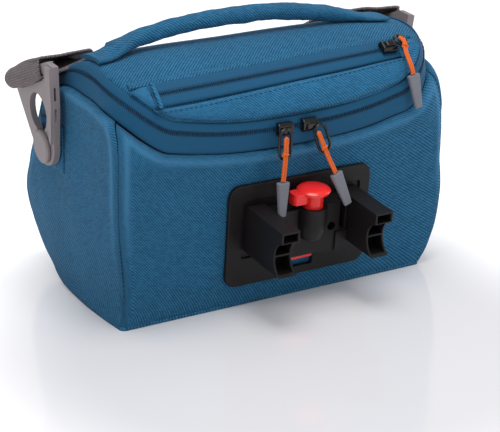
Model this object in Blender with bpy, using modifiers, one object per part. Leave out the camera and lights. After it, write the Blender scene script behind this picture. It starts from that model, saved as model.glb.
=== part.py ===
"""Bicycle handlebar bag with a quick-release adapter.

Metres, +Z up. X runs along the width of the bag, the face with the adapter looks towards -Y, and the
origin lies on the flat bottom, midway along the width. Run it with blender --background --python part.py.
"""

import math

import bmesh
import bpy
from mathutils import Matrix, Vector
from mathutils.bvhtree import BVHTree

# Driving dimensions of the soft body
HALF_WIDTH = 0.131
FACE_REACH = 0.0605
FACE_LEAN = math.radians(5.8)
BACK_REACH = 0.092
LID_HALF_WIDTH = 0.126
LID_FRONT = 0.0755
LID_BACK = 0.044
LID_HEIGHT = 0.1838
LID_END_DROP = 0.003
LID_END_FULLNESS = 0.004
CLOTH_WALL = 0.0025
SEAM_GAP = 0.0012
ZIP_BAND = 0.0212
ZIP_BAND_AT_HINGE = 0.014
COIL_PLACE = 0.66
COIL_WIDTH = 0.0036
COIL_HEIGHT = 0.0018
COIL_SEAT = 0.0005

# Points along one horizontal section, which starts at the hinge end of the left side
SIDE_STEPS = 6
FRONT_CORNER_STEPS = 6
FRONT_STEPS = 10
BACK_CORNER_STEPS = 4
BACK_STEPS = 8
SEAM_STEP = 2

# Sections of the wall: share of its height, then shares of the half width, the face's and the back's reach,
# and of the corner radii
FRONT_CORNER = 0.036
LID_CORNER = 0.038
LID_BACK_CORNER = 0.024
FRONT_BOW = 0.0011
BACK_CORNER = 0.012
SIDE_BOW = 0.003
WALL_SECTIONS = (
    # height, left, right, back, front corner, back corner
    (0.000, 0.970, 0.955, 0.31, 0.12, 0.60),
    (0.032, 0.965, 0.978, 0.53, 0.15, 0.66),
    (0.070, 0.955, 1.005, 0.70, 0.18, 0.78),
    (0.120, 0.955, 1.028, 0.86, 0.20, 0.90),
    (0.240, 0.962, 1.064, 1.03, 0.23, 0.96),
    (0.400, 0.986, 1.075, 1.07, 0.25, 1.00),
    (0.600, 1.002, 1.048, 0.92, 0.28, 1.00),
    (0.800, 1.002, 1.038, 0.75, 0.33, 1.00),
    (0.920, 0.998, 1.022, 0.64, 0.55, 1.20),
    (1.000, 0.992, 1.005, 0.58, 1.00, 1.60),
)
TOP_BULGE = 0.0025
BOTTOM_RING = 0.9

# The lid's side profile: share of its depth from the front seam, then share of the height over the bottom
LID_PROFILE = (
    # depth, height
    (0.000, 0.763),
    (0.028, 0.830),
    (0.094, 0.893),
    (0.192, 0.946),
    (0.322, 0.984),
    (0.470, 1.000),
    (0.620, 0.991),
    (0.745, 0.962),
    (0.880, 0.914),
    (1.000, 0.862),
    (1.120, 0.785),
)
LID_RINGS = (0.965, 0.89, 0.76, 0.58, 0.32)

# Pocket in the front of the lid
POCKET_FOLD = 0.0087
POCKET_TOP = 0.0215
POCKET_SLANT = 0.028
POCKET_REACH = 0.117
POCKET_TAPE_REACH = 0.1035
POCKET_CLOTH = 0.0016
POCKET_TAPE = 0.0012
POCKET_STEPS = 14
POCKET_END_STEPS = 4
POCKET_LIFT = 0.0007
LIFT = 0.0003

# Carry handle: its padded middle rises over the lid, and its ends are flat and sewn down
HANDLE_REACH = 0.1225
HANDLE_Y = -0.013
HANDLE_RISE = 0.0149
HANDLE_RADIUS = 0.0062
HANDLE_TAB_HALF_WIDTH = 0.0150
HANDLE_TAB_HALF_THICKNESS = 0.0016
HANDLE_SECTIONS = (
    # place along the reach, rise, share of round
    (-1.00, 0.00, 0.0),
    (-0.92, 0.05, 0.05),
    (-0.84, 0.24, 0.30),
    (-0.76, 0.44, 0.72),
    (-0.68, 0.59, 0.95),
    (-0.56, 0.75, 1.0),
    (-0.43, 0.88, 1.0),
    (-0.29, 0.97, 1.0),
    (-0.13, 1.00, 1.0),
    (0.04, 0.97, 1.0),
    (0.21, 0.88, 1.0),
    (0.37, 0.71, 1.0),
    (0.51, 0.51, 0.95),
    (0.61, 0.35, 0.80),
    (0.70, 0.21, 0.45),
    (0.79, 0.10, 0.15),
    (0.86, 0.02, 0.0),
    (0.92, 0.00, 0.0),
)
HANDLE_SIDES = 12

# Plate and adapter, in the face's own frame: X along the bag, up along the face, out away from it
ADAPTER_X = 0.0116
ADAPTER_HEIGHT = 0.0562
PLATE_SHIFT = -0.0013
PLATE_SIZE = (0.1165, 0.0780)
PLATE_CORNER = 0.009
PLATE_THICKNESS = 0.0034
RECESS_HALF_WIDTH = 0.0480
RECESS_TOP = 0.0265
RECESS_DEPTH = 0.0018
NOTCH_HALF_WIDTH = 0.0120
NOTCH_FOOT = -0.0326
BASE_TOP = 0.0200
BASE_BOTTOM = -0.0169
BASE_FRONT = 0.0170
ARM_WIDTH = 0.0144
ARM_SPREAD = 0.0381
ARM_LENGTH = 0.0510
ARM_BOTTOM = -0.0118
ARM_TOP = 0.0228
ARM_LIP = 0.0083
ARM_WALL = 0.0016
BAR_DEPTH = 0.0085
CELL_DEPTH = 0.020
BARREL_RADIUS = 0.0110
BARREL_FOOT_RADIUS = 0.0062
BARREL_OUT = 0.0172
BARREL_TOP = 0.0212
BARREL_FOOT = -0.0050
BORE_RADIUS = 0.0078
BORE_FOOT = 0.0015
RUNNING_GAP = 0.0004
BUTTON_RADIUS = 0.0122
BUTTON_TOP = 0.0368
BUTTON_CAP = 0.0048
BUTTON_TRAVEL = 0.004
LOBE_SIZE = (0.0120, 0.0100, 0.0080)
BOLT_HALF_WIDTH = 0.0110
BOLT_FOOT = -0.0263
SCREW_X = 0.0173
SCREW_UP = 0.0017
SCREW_RADIUS = 0.0033
SCREW_DEPTH = 0.006
GROOVES = ((0.0238, 0.0280), (0.0302, 0.0330))
GROOVE_DEPTH = 0.006
GROOVE_FOOT = -0.0020
BOSS_LEFT = 0.0208
BOSS_TOP = -0.0034
BOSS_RISE = 0.0014

# Shoulder strap and its hooks. A hook is drawn about its stud, towards the back and up, and leans outwards
STUD_Y = 0.028
STUD_Z = 0.112
STUD_RADIUS = 0.0122
STUD_HEAD = 0.0030
STUD_NECK_RADIUS = 0.0040
PATCH_SIDE = 0.034
PATCH_THICKNESS = 0.0012
HOOK_SPLAY = {"left": math.radians(3), "right": math.radians(6)}
HOOK_THICKNESS = 0.0046
HOOK_STANDOFF = 0.0005
HOOK_FOOT_CENTRE = (0.000, 0.004)
HOOK_FOOT_RADIUS = 0.018
HOOK_CORNERS = (
    # towards the back, up
    (0.0420, 0.0362),
    (0.0405, 0.0428),
    (-0.0140, 0.0648),
    (-0.0265, 0.0640),
    (-0.0240, 0.0350),
)
HOOK_HOLE = (0.0050, 0.0240)
HOOK_HOLE_RADIUS = 0.0140
HOOK_SLOT = (0.0112, 0.0452)
HOOK_SLOT_TILT = math.radians(22)
HOOK_SLOT_SIZE = (0.0455, 0.0044)
RAIL_RISE = 0.0022
RAIL_CORNERS = (
    # towards the back, up
    (-0.0255, 0.0632),
    (-0.0175, 0.0632),
    (-0.0145, 0.0080),
    (-0.0175, 0.0060),
    (-0.0232, 0.0350),
)
RAIL_SLOTS = (0.014, 0.028, 0.044)
RAIL_SLOT_LENGTH = 0.010
RAIL_SLOT_HEIGHT = 0.0016
STRAP_WIDTH = 0.043
STRAP_THICKNESS = 0.0018
STRAP_SMOOTHING = 4
STRAP_LOOP = (
    # outwards from the hook's outer face, up from its slot and across it
    (-0.0240, 0.0082),
    (-0.0190, 0.0070),
    (-0.0125, 0.0048),
    (-0.0050, 0.0006),
    (0.0010, -0.0004),
    (0.0062, -0.0006),
    (0.0098, 0.0018),
    (0.0108, 0.0066),
    (0.0076, 0.0112),
    (0.0000, 0.0135),
    (-0.0180, 0.0126),
    (-0.0340, 0.0126),
)
STRAP_ROUTE = (
    # side, towards the back, up, turn of the width from the upright in degrees
    (0.0960, 0.0570, 0.1610, 55),
    (0.0860, 0.0670, 0.1480, 42),
    (0.0700, 0.0745, 0.1360, 30),
    (0.0450, 0.0800, 0.1280, 20),
    (0.0200, 0.0820, 0.1250, 15),
    (0.0000, 0.0825, 0.1240, 14),
)

# Zip sliders, pullers and cord pulls
SLIDER_LENGTH = 0.0110
SLIDER_WIDTH = 0.0085
SLIDER_THICKNESS = 0.0048
CROWN_SIZE = (0.0066, 0.0036, 0.0022)
PULLER_WIRE = 0.0008
PULLER_WIDTH = 0.0094
CORD_RADIUS = 0.0018
CORD_GAP = 0.0006
TAB_SIZE = (0.0096, 0.0046, 0.0250)
TAB_TAPER = 0.62
PULLS = {
    # the way the puller faces, its two ends, then the cord's points down to the grip, then the grip's foot
    "left": (
        (0, -1, 0),
        ((-0.0107, -0.0848, 0.1345), (-0.0122, -0.0862, 0.1140)),
        ((-0.0122, -0.0884, 0.1290), (-0.0138, -0.0896, 0.1130), (-0.0150, -0.0892, 0.0990)),
        (-0.0157, -0.0890, 0.0755),
    ),
    "right": (
        (0, -1, 0),
        ((0.0158, -0.0848, 0.1335), (0.0212, -0.0866, 0.1145)),
        ((0.0142, -0.0880, 0.1291), (0.0204, -0.0896, 0.1130), (0.0266, -0.0910, 0.0990)),
        (0.0352, -0.0945, 0.0755),
    ),
    "pocket": (
        (0.05, -0.42, 0.90),
        ((0.0970, -0.0562, 0.1784), (0.1054, -0.0608, 0.1748)),
        (
            (0.0996, -0.0604, 0.1792),
            (0.0998, -0.0652, 0.1770),
            (0.0972, -0.0715, 0.1712),
            (0.0969, -0.0787, 0.1632),
            (0.0980, -0.0799, 0.1572),
        ),
        (0.1026, -0.0816, 0.1322),
    ),
}
SLIDER_PLACES = {"left": -0.0080, "right": 0.0118, "pocket": 0.0894}


def collection_named(name, helper=False):
    found = bpy.data.collections.new(name)
    found.hide_render = helper
    bpy.context.scene.collection.children.link(found)
    return found


def finish(name, colour, roughness, metallic=0.0):
    """A Principled material of one colour."""
    material = bpy.data.materials.new(name)
    material.use_nodes = True
    shader = material.node_tree.nodes["Principled BSDF"]
    shader.inputs["Base Color"].default_value = (*colour, 1.0)
    shader.inputs["Roughness"].default_value = roughness
    shader.inputs["Metallic"].default_value = metallic
    return material


def place(name, shape, material, parent=None, smooth=True):
    """A bmesh made an object of the bag, and the bmesh freed."""
    mesh = bpy.data.meshes.new(name)
    shape.to_mesh(mesh)
    shape.free()
    if smooth:
        mesh.shade_smooth()
        mesh.set_sharp_from_angle(angle=math.radians(35))
    mesh.materials.append(material)
    obj = bpy.data.objects.new(name, mesh)
    PARTS.objects.link(obj)
    obj.parent = parent
    return obj


def cutter(name, shape, parent=None):
    """A bmesh made a hidden cutter."""
    mesh = bpy.data.meshes.new(name)
    shape.to_mesh(mesh)
    shape.free()
    obj = bpy.data.objects.new(name, mesh)
    obj.hide_render = True
    obj.display_type = "WIRE"
    CUTTERS.objects.link(obj)
    obj.parent = parent
    return obj


def boolean(obj, other, operation):
    modifier = obj.modifiers.new(f"{operation.lower()} {other.name}", "BOOLEAN")
    modifier.operation = operation
    modifier.object = other
    modifier.solver = "EXACT"


def block(size, centre, corner=0.0, corner_axis="Y", segments=3):
    """A box, whose four edges along corner_axis may be rounded."""
    shape = bmesh.new()
    bmesh.ops.create_cube(shape, size=1.0)
    bmesh.ops.scale(shape, vec=size, verts=shape.verts)
    bmesh.ops.translate(shape, vec=centre, verts=shape.verts)
    if corner:
        axis = "XYZ".index(corner_axis)
        edges = [e for e in shape.edges if abs((e.verts[0].co - e.verts[1].co)[axis]) > 0.9 * size[axis]]
        bmesh.ops.bevel(shape, geom=edges, offset=corner, segments=segments, profile=0.5, affect="EDGES")
    return shape


def prism(outline, low, high, axis="X"):
    """A closed outline in the plane across an axis, given thickness from low to high along it."""
    shape = bmesh.new()
    turned_axes = {"X": (2, 0, 1), "Y": (0, 2, 1), "Z": (0, 1, 2)}[axis]

    def order(*along):
        return tuple(along[k] for k in turned_axes)

    face = shape.faces.new([shape.verts.new(order(a, b, low)) for a, b in outline])
    grown = bmesh.ops.extrude_face_region(shape, geom=[face])
    moved = [v for v in grown["geom"] if isinstance(v, bmesh.types.BMVert)]
    bmesh.ops.translate(shape, vec=order(0.0, 0.0, high - low), verts=moved)
    bmesh.ops.recalc_face_normals(shape, faces=shape.faces)
    return shape


def turned(name, profile, material, matrix, parent=None, steps=20):
    """A turned shape: rows of radius and height, from the top down its outer side, about the local Z axis."""
    mesh = bpy.data.meshes.new(name)
    mesh.from_pydata([(r, 0.0, z) for r, z in profile], [(i, i + 1) for i in range(len(profile) - 1)], [])
    mesh.materials.append(material)
    obj = bpy.data.objects.new(name, mesh)
    PARTS.objects.link(obj)
    screw = obj.modifiers.new("turn", "SCREW")
    screw.steps = steps
    screw.render_steps = steps
    screw.use_merge_vertices = True
    screw.merge_threshold = 0.00001
    screw.use_smooth_shade = True
    obj.parent = parent
    obj.matrix_local = matrix
    return obj


def arc(centre, radius, start, end, steps):
    """Points of an arc in a plane, angles in degrees."""
    angles = [math.radians(start + (end - start) * i / steps) for i in range(steps + 1)]
    return [(centre[0] + radius * math.cos(a), centre[1] + radius * math.sin(a)) for a in angles]


def blend_between(rows, value):
    """The second column of a two-column table, read off a smooth curve at a value of the first."""
    value = min(max(value, rows[0][0]), rows[-1][0])
    i = max(k for k in range(len(rows) - 1) if rows[k][0] <= value)
    (x0, y0), (x1, y1) = rows[i], rows[i + 1]

    def slope(k):
        a, b = rows[max(k - 1, 0)], rows[min(k + 1, len(rows) - 1)]
        return (b[1] - a[1]) / (b[0] - a[0])

    t = (value - x0) / (x1 - x0)
    span = x1 - x0
    start = (1 + 2 * t) * (1 - t) ** 2 * y0 + t * (1 - t) ** 2 * span * slope(i)
    return start + t * t * (3 - 2 * t) * y1 + t * t * (t - 1) * span * slope(i + 1)


def lid_height(x, y):
    """Height of the lid's outer surface over the bottom."""
    end = min(abs(x) / LID_HALF_WIDTH, 1.0)
    depth = (y + LID_END_FULLNESS * end**3 + LID_FRONT) / (LID_FRONT + LID_BACK)
    return LID_HEIGHT * blend_between(LID_PROFILE, depth) - LID_END_DROP * end**4


def face_y(z):
    """Y of the leaning face at a height."""
    return -FACE_REACH - math.tan(FACE_LEAN) * z


def section(left, right, front, back, front_corner, back_corner, bow, front_bow):
    """One section of the bag from above, anticlockwise: rounded corners, bowed sides and front."""
    points = []
    front -= front_bow
    side_low, side_high = -front + front_corner, back - back_corner

    def bulge(step, steps, height):
        t = step / steps
        return height * 4 * t * (1 - t)

    for i in range(SIDE_STEPS):
        y = side_high + (side_low - side_high) * i / SIDE_STEPS
        points.append((-left - bulge(i, SIDE_STEPS, bow), y))
    points += arc((front_corner - left, side_low), front_corner, 180, 270, FRONT_CORNER_STEPS)[:-1]
    face_width = right + left - 2 * front_corner
    for i in range(FRONT_STEPS):
        x = front_corner - left + face_width * i / FRONT_STEPS
        points.append((x, -front - bulge(i, FRONT_STEPS, front_bow)))
    points += arc((right - front_corner, side_low), front_corner, 270, 360, FRONT_CORNER_STEPS)[:-1]
    for i in range(SIDE_STEPS):
        y = side_low + (side_high - side_low) * i / SIDE_STEPS
        points.append((right + bulge(i, SIDE_STEPS, bow), y))
    points += arc((right - back_corner, side_high), back_corner, 0, 90, BACK_CORNER_STEPS)[:-1]
    back_width = left + right - 2 * back_corner
    points += [(right - back_corner - back_width * i / BACK_STEPS, back) for i in range(BACK_STEPS)]
    points += arc((back_corner - left, side_high), back_corner, 90, 180, BACK_CORNER_STEPS)[:-1]
    return points


def body_rings():
    """Rings of points from the bottom to the middle of the lid, and the numbers of the zip seams' rings."""
    wide = LID_HALF_WIDTH
    top = section(wide, wide, LID_FRONT, LID_BACK, LID_CORNER, LID_BACK_CORNER, 0, FRONT_BOW)
    upper = [Vector((x, y, lid_height(x, y))) for x, y in top]
    share = [min(max((p.y + 0.02) / 0.05, 0.0), 1.0) for p in upper]
    band = [ZIP_BAND + (ZIP_BAND_AT_HINGE - ZIP_BAND) * s for s in share]
    seam_height = [p.z - b for p, b in zip(upper, band)]
    rings = []
    for height, left, right, back, front_corner, back_corner in WALL_SECTIONS:
        front_height = height * min(seam_height)
        outline = section(
            left * HALF_WIDTH,
            right * HALF_WIDTH,
            -face_y(front_height) + TOP_BULGE * height**18,
            back * BACK_REACH,
            front_corner * FRONT_CORNER,
            back_corner * BACK_CORNER,
            SIDE_BOW * math.sin(math.pi * min(height + 0.2, 1.0)),
            FRONT_BOW * height**6,
        )
        ring = []
        for (x, y), top_z in zip(outline, seam_height):
            z = height * top_z
            towards_face = min(max(-y / FACE_REACH, 0.0), 1.0)
            lean = math.tan(FACE_LEAN) * (z - front_height) * towards_face * (1 - height**12)
            ring.append(Vector((x, y - lean, z)))
        rings.append(ring)
    hem = rings[0]
    floor_y = 0.5 * (min(p.y for p in hem) + max(p.y for p in hem))
    rings.insert(0, [Vector((BOTTOM_RING * p.x, floor_y + BOTTOM_RING * (p.y - floor_y), 0)) for p in hem])
    lower_seam = len(rings) - 1
    middle = [a.lerp(b, COIL_PLACE) for a, b in zip(rings[lower_seam], upper)]
    outward = [Vector((p.x / HALF_WIDTH, p.y / LID_FRONT, 0)).normalized() for p in middle]
    rings.append([p + 0.0012 * o for p, o in zip(middle, outward)])
    rings.append(upper)
    centre_y = 0.5 * (LID_BACK - LID_FRONT)
    for share_out in LID_RINGS:
        flat = [(p.x * share_out, centre_y + (p.y - centre_y) * share_out) for p in upper]
        rings.append([Vector((x, y, lid_height(x, y))) for x, y in flat])
    return rings, lower_seam, lower_seam + 2


def skin_mesh(rings):
    """The whole outer surface as one closed mesh. Faces carry the numbers of their ring and of their step."""
    skin = bmesh.new()
    ring_layer = skin.faces.layers.int.new("ring")
    step_layer = skin.faces.layers.int.new("step")
    verts = [[skin.verts.new(p) for p in ring] for ring in rings]
    count = len(rings[0])
    bottom = skin.faces.new(list(reversed(verts[0])))
    bottom[ring_layer] = -1
    for r in range(len(rings) - 1):
        for i in range(count):
            j = (i + 1) % count
            face = skin.faces.new((verts[r][i], verts[r][j], verts[r + 1][j], verts[r + 1][i]))
            face[ring_layer] = r
            face[step_layer] = i
    top = skin.faces.new(verts[-1])
    top[ring_layer] = len(rings) - 1
    skin.normal_update()
    skin.verts.index_update()
    return skin


def cut_panel(skin, keep, wall):
    """Closed solid of the skin's faces that keep accepts: the wall goes inwards, and seams are left open.

    The rim's diagonals follow the order of the skin's points, so that panels that meet have matching rims.
    """
    ring_layer = skin.faces.layers.int["ring"]
    step_layer = skin.faces.layers.int["step"]
    chosen = {f for f in skin.faces if keep(f[ring_layer], f[step_layer])}
    shape = bmesh.new()
    outer, inner = {}, {}
    for vert in {v for f in chosen for v in f.verts}:
        co = vert.co.copy()
        if any(f not in chosen for f in vert.link_faces):
            own = [f for f in vert.link_faces if f in chosen]
            inside = sum((edge_middle(f, vert) for f in own), Vector()) / len(own)
            co += (inside - co).normalized() * SEAM_GAP * 0.5
        depth = wall * min(vert.calc_shell_factor(), 1.6)
        outer[vert] = shape.verts.new(co)
        inner[vert] = shape.verts.new(co - vert.normal * depth)
    for face in chosen:
        shape.faces.new([outer[v] for v in face.verts])
        shape.faces.new([inner[v] for v in reversed(face.verts)])
        for loop in face.loops:
            neighbours = [f for f in loop.edge.link_faces if f in chosen]
            if len(neighbours) == 1:
                a, b = loop.vert, loop.link_loop_next.vert
                if a.index < b.index:
                    shape.faces.new((outer[b], outer[a], inner[b]))
                    shape.faces.new((outer[a], inner[a], inner[b]))
                else:
                    shape.faces.new((outer[b], outer[a], inner[a]))
                    shape.faces.new((outer[b], inner[a], inner[b]))
    return shape


def edge_middle(face, vert):
    """A point of a face near one of its corners, towards the face's middle."""
    near = [v.co for e in vert.link_edges if e in face.edges for v in [e.other_vert(vert)]]
    return 0.5 * (near[0] + near[1])


def front_steps():
    """First and last step of the face between the two upright seams."""
    first = SIDE_STEPS + SEAM_STEP
    last = SIDE_STEPS + FRONT_CORNER_STEPS + FRONT_STEPS + FRONT_CORNER_STEPS - SEAM_STEP
    return first, last


def back_steps():
    first = 2 * SIDE_STEPS + 2 * FRONT_CORNER_STEPS + FRONT_STEPS + 1
    last = first + BACK_CORNER_STEPS + BACK_STEPS + BACK_CORNER_STEPS - 2
    return first, last


def make_body(cloth, lid_cloth, tape):
    """The cloth panels, and the tapes of the main zip."""
    rings, lower, upper = body_rings()
    skin = skin_mesh(rings)
    face_first, face_last = front_steps()
    back_first, back_last = back_steps()
    count = len(rings[0])

    def on_wrap(step):
        return face_first <= step < face_last or back_first <= step < back_last

    def on_hinge(step):
        return back_first <= step < back_last

    panels = {
        "wrap_panel": (lambda r, s: r < 1 or (r < lower and on_wrap(s)), cloth),
        "side_panel_left": (lambda r, s: 1 <= r < lower and (s < face_first or s >= back_last), cloth),
        "side_panel_right": (lambda r, s: 1 <= r < lower and face_last <= s < back_first, cloth),
        "main_zip_tape_lower": (lambda r, s: r == lower and not on_hinge(s), tape),
        "main_zip_tape_upper": (lambda r, s: r == lower + 1 and not on_hinge(s), tape),
        "lid_panel": (lambda r, s: r >= upper or (r >= lower and on_hinge(s)), lid_cloth),
    }
    for name, (keep, material) in panels.items():
        place(name, cut_panel(skin, keep, CLOTH_WALL), material)
    zip_steps = count - (back_last - back_first) + 1
    coil_line = [rings[lower + 1][(back_last + i) % count] for i in range(zip_steps)]
    tree = BVHTree.FromBMesh(skin)
    skin.free()
    return tree, coil_line


def make_main_coil(line, material):
    """The closed zip's teeth: a low bead along the gap between the two tapes."""
    shape = bmesh.new()
    rows = []
    for i, point in enumerate(line):
        along = (line[min(i + 1, len(line) - 1)] - line[max(i - 1, 0)]).normalized()
        out = along.cross(Vector((0, 0, 1))).normalized()
        up = out.cross(along)
        base = point + out * COIL_SEAT
        bead = ((-1, 0), (-0.55, 1), (0.55, 1), (1, 0))
        row = [base + up * 0.5 * w * COIL_WIDTH + out * h * COIL_HEIGHT for w, h in bead]
        rows.append([shape.verts.new(p) for p in row])
    for a, b in zip(rows, rows[1:]):
        for k in range(4):
            shape.faces.new((a[k], b[k], b[(k + 1) % 4], a[(k + 1) % 4]))
    shape.faces.new(list(reversed(rows[0])))
    shape.faces.new(rows[-1])
    bmesh.ops.recalc_face_normals(shape, faces=shape.faces)
    return place("main_zip_coil", shape, material)


def lid_point(x, y, lift):
    """A point over the lid, at a distance from its surface."""
    step = 0.0004
    slope_x = (lid_height(x + step, y) - lid_height(x - step, y)) / (2 * step)
    slope_y = (lid_height(x, y + step) - lid_height(x, y - step)) / (2 * step)
    normal = Vector((-slope_x, -slope_y, 1)).normalized()
    return Vector((x, y, lid_height(x, y))) + normal * lift


def lid_front_edge(x):
    """Y of the lid's front seam at a place along the width."""
    straight = LID_HALF_WIDTH - LID_CORNER
    if abs(x) <= straight:
        return -LID_FRONT + FRONT_BOW * (x / straight) ** 2
    past = abs(x) - straight
    return -LID_FRONT + FRONT_BOW + LID_CORNER - math.sqrt(LID_CORNER**2 - past**2)


def lid_strip(name, edges, low, high, material, across=4):
    """A layer on the lid: edges gives its front and back Y at each X, low and high its two faces' heights."""
    shape = bmesh.new()
    rows = []
    for x, y_front, y_back in edges:
        ys = [y_front + (y_back - y_front) * k / across for k in range(across + 1)]
        under = [shape.verts.new(lid_point(x, y, low)) for y in ys]
        over = [shape.verts.new(lid_point(x, y, high)) for y in reversed(ys)]
        rows.append(under + over)
    for a, b in zip(rows, rows[1:]):
        for k in range(len(a)):
            shape.faces.new((a[k], b[k], b[(k + 1) % len(a)], a[(k + 1) % len(a)]))
    shape.faces.new(list(reversed(rows[0])))
    shape.faces.new(rows[-1])
    bmesh.ops.recalc_face_normals(shape, faces=shape.faces)
    return place(name, shape, material)


def make_pocket(cloth, tape, teeth):
    """The flat pocket in the lid's front: its panel, the tape along its top and that zip's teeth."""
    panel, band, coil = [], [], []
    inside = [POCKET_TAPE_REACH * (2 * i / POCKET_STEPS - 1) for i in range(POCKET_STEPS + 1)]
    for x in inside:
        top = -LID_FRONT + POCKET_TOP + POCKET_SLANT * x
        fold = -LID_FRONT + POCKET_FOLD + POCKET_SLANT * x
        panel.append((x, lid_front_edge(x) + LIFT, fold - LIFT))
        band.append((x, fold + LIFT, top))
        middle = 0.5 * (fold + top)
        coil.append((x, middle - COIL_WIDTH / 4, middle + COIL_WIDTH / 4))
    for side in (-1, 1):
        end = []
        for i in range(POCKET_END_STEPS + 1):
            share = i / POCKET_END_STEPS
            x = side * (POCKET_TAPE_REACH + 2 * LIFT + (POCKET_REACH - POCKET_TAPE_REACH) * share)
            front = lid_front_edge(x) + LIFT
            back = -LID_FRONT + POCKET_TOP + POCKET_SLANT * x
            end.append((x, front, front + (back - front) * math.sqrt(1 - 0.8 * share**3)))
        panel = [*reversed(end), *panel] if side < 0 else [*panel, *end]
    lid_strip("pocket_panel", panel, POCKET_LIFT, POCKET_LIFT + POCKET_CLOTH, cloth)
    lid_strip("pocket_zip_tape", band, POCKET_LIFT, POCKET_LIFT + POCKET_TAPE, tape, 3)
    bead = POCKET_LIFT + POCKET_TAPE + LIFT
    lid_strip("pocket_zip_coil", coil[1:-1], bead, bead + 0.6 * COIL_HEIGHT, teeth, 1)


def make_handle(cloth):
    """Padded carry handle, flat where it is sewn to the ends of the lid."""
    shape = bmesh.new()
    rows = []
    for along, rise, rounding in HANDLE_SECTIONS:
        x = along * HANDLE_REACH
        half_width = HANDLE_TAB_HALF_WIDTH + (HANDLE_RADIUS - HANDLE_TAB_HALF_WIDTH) * rounding
        half_height = HANDLE_TAB_HALF_THICKNESS + (HANDLE_RADIUS - HANDLE_TAB_HALF_THICKNESS) * rounding
        tab_seat = max(lid_height(x, HANDLE_Y + HANDLE_TAB_HALF_WIDTH * k / 4) for k in range(-4, 5))
        z = max(tab_seat + LIFT + half_height, LID_HEIGHT + HANDLE_RISE * rise)
        row = []
        for k in range(HANDLE_SIDES):
            turn = 2 * math.pi * (k + 0.5) / HANDLE_SIDES
            power = 0.5 + 0.5 * rounding
            c, s = math.cos(turn), math.sin(turn)
            y = HANDLE_Y + half_width * math.copysign(abs(c) ** power, c)
            row.append(shape.verts.new((x, y, z + half_height * math.copysign(abs(s) ** power, s))))
        rows.append(row)
    for a, b in zip(rows, rows[1:]):
        for k in range(HANDLE_SIDES):
            shape.faces.new((a[k], b[k], b[(k + 1) % HANDLE_SIDES], a[(k + 1) % HANDLE_SIDES]))
    shape.faces.new(list(reversed(rows[0])))
    shape.faces.new(rows[-1])
    bmesh.ops.recalc_face_normals(shape, faces=shape.faces)
    return place("carry_handle", shape, cloth)


def local_block(name, x, up, out, material, corner=0.0, segments=3):
    """A block in the face's frame, from low and high values along X, up the face and out from it."""
    size = (x[1] - x[0], out[1] - out[0], up[1] - up[0])
    centre = (0.5 * (x[0] + x[1]), -0.5 * (out[0] + out[1]), 0.5 * (up[0] + up[1]))
    return place(name, block(size, centre, corner, "Y", segments), material, FACE_FRAME)


def local_cutter(name, x, up, out, corner=0.0):
    size = (x[1] - x[0], out[1] - out[0], up[1] - up[0])
    centre = (0.5 * (x[0] + x[1]), -0.5 * (out[0] + out[1]), 0.5 * (up[0] + up[1]))
    return cutter(name, block(size, centre, corner), FACE_FRAME)


def make_plate(plastic):
    """Frame plate on the bag's face, with a shallow recess for the adapter and a notch for its latch."""
    half = (0.5 * PLATE_SIZE[0], 0.5 * PLATE_SIZE[1])
    sides = (PLATE_SHIFT - half[0], PLATE_SHIFT + half[0])
    front = RUNNING_GAP + PLATE_THICKNESS
    plate_up = (-half[1], half[1])
    plate = local_block("bag_plate", sides, plate_up, (RUNNING_GAP, front), plastic, PLATE_CORNER, 5)
    seat = front - RECESS_DEPTH
    clear = front + PLATE_THICKNESS
    recess_x = (-RECESS_HALF_WIDTH, RECESS_HALF_WIDTH)
    recess = local_cutter("plate_recess", recess_x, (BASE_BOTTOM - LIFT, RECESS_TOP), (seat, clear), 0.002)
    boolean(plate, recess, "DIFFERENCE")
    notch_x = (-NOTCH_HALF_WIDTH, NOTCH_HALF_WIDTH)
    notch_up = (NOTCH_FOOT, BASE_BOTTOM + 0.004)
    notch = local_cutter("plate_notch", notch_x, notch_up, (-clear, clear), 0.001)
    boolean(plate, notch, "DIFFERENCE")
    return seat


def barrel_solid():
    """The barrel's outside: straight at the top, tapering to a rounded foot."""
    barrel = bmesh.new()
    rows = [
        (BARREL_RADIUS, BARREL_TOP),
        (BARREL_RADIUS, BARREL_TOP - 0.011),
        (BARREL_RADIUS - 0.0012, BARREL_TOP - 0.018),
        (BARREL_FOOT_RADIUS + 0.0012, BARREL_FOOT + 0.002),
        (BARREL_FOOT_RADIUS - 0.002, BARREL_FOOT),
    ]
    profile = [barrel.verts.new((r, -BARREL_OUT, z)) for r, z in rows]
    lines = [barrel.edges.new((a, b)) for a, b in zip(profile, profile[1:])]
    axis = {"cent": (0, -BARREL_OUT, 0), "axis": (0, 0, 1)}
    bmesh.ops.spin(barrel, geom=profile + lines, angle=2 * math.pi, steps=20, use_merge=True, **axis)
    bmesh.ops.holes_fill(barrel, edges=[e for e in barrel.edges if e.is_boundary])
    bmesh.ops.recalc_face_normals(barrel, faces=barrel.faces)
    return barrel


def cylinder(radius, depth, matrix, segments):
    shape = bmesh.new()
    bmesh.ops.create_cone(
        shape, cap_ends=True, segments=segments, radius1=radius, radius2=radius, depth=depth, matrix=matrix
    )
    return shape


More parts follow.
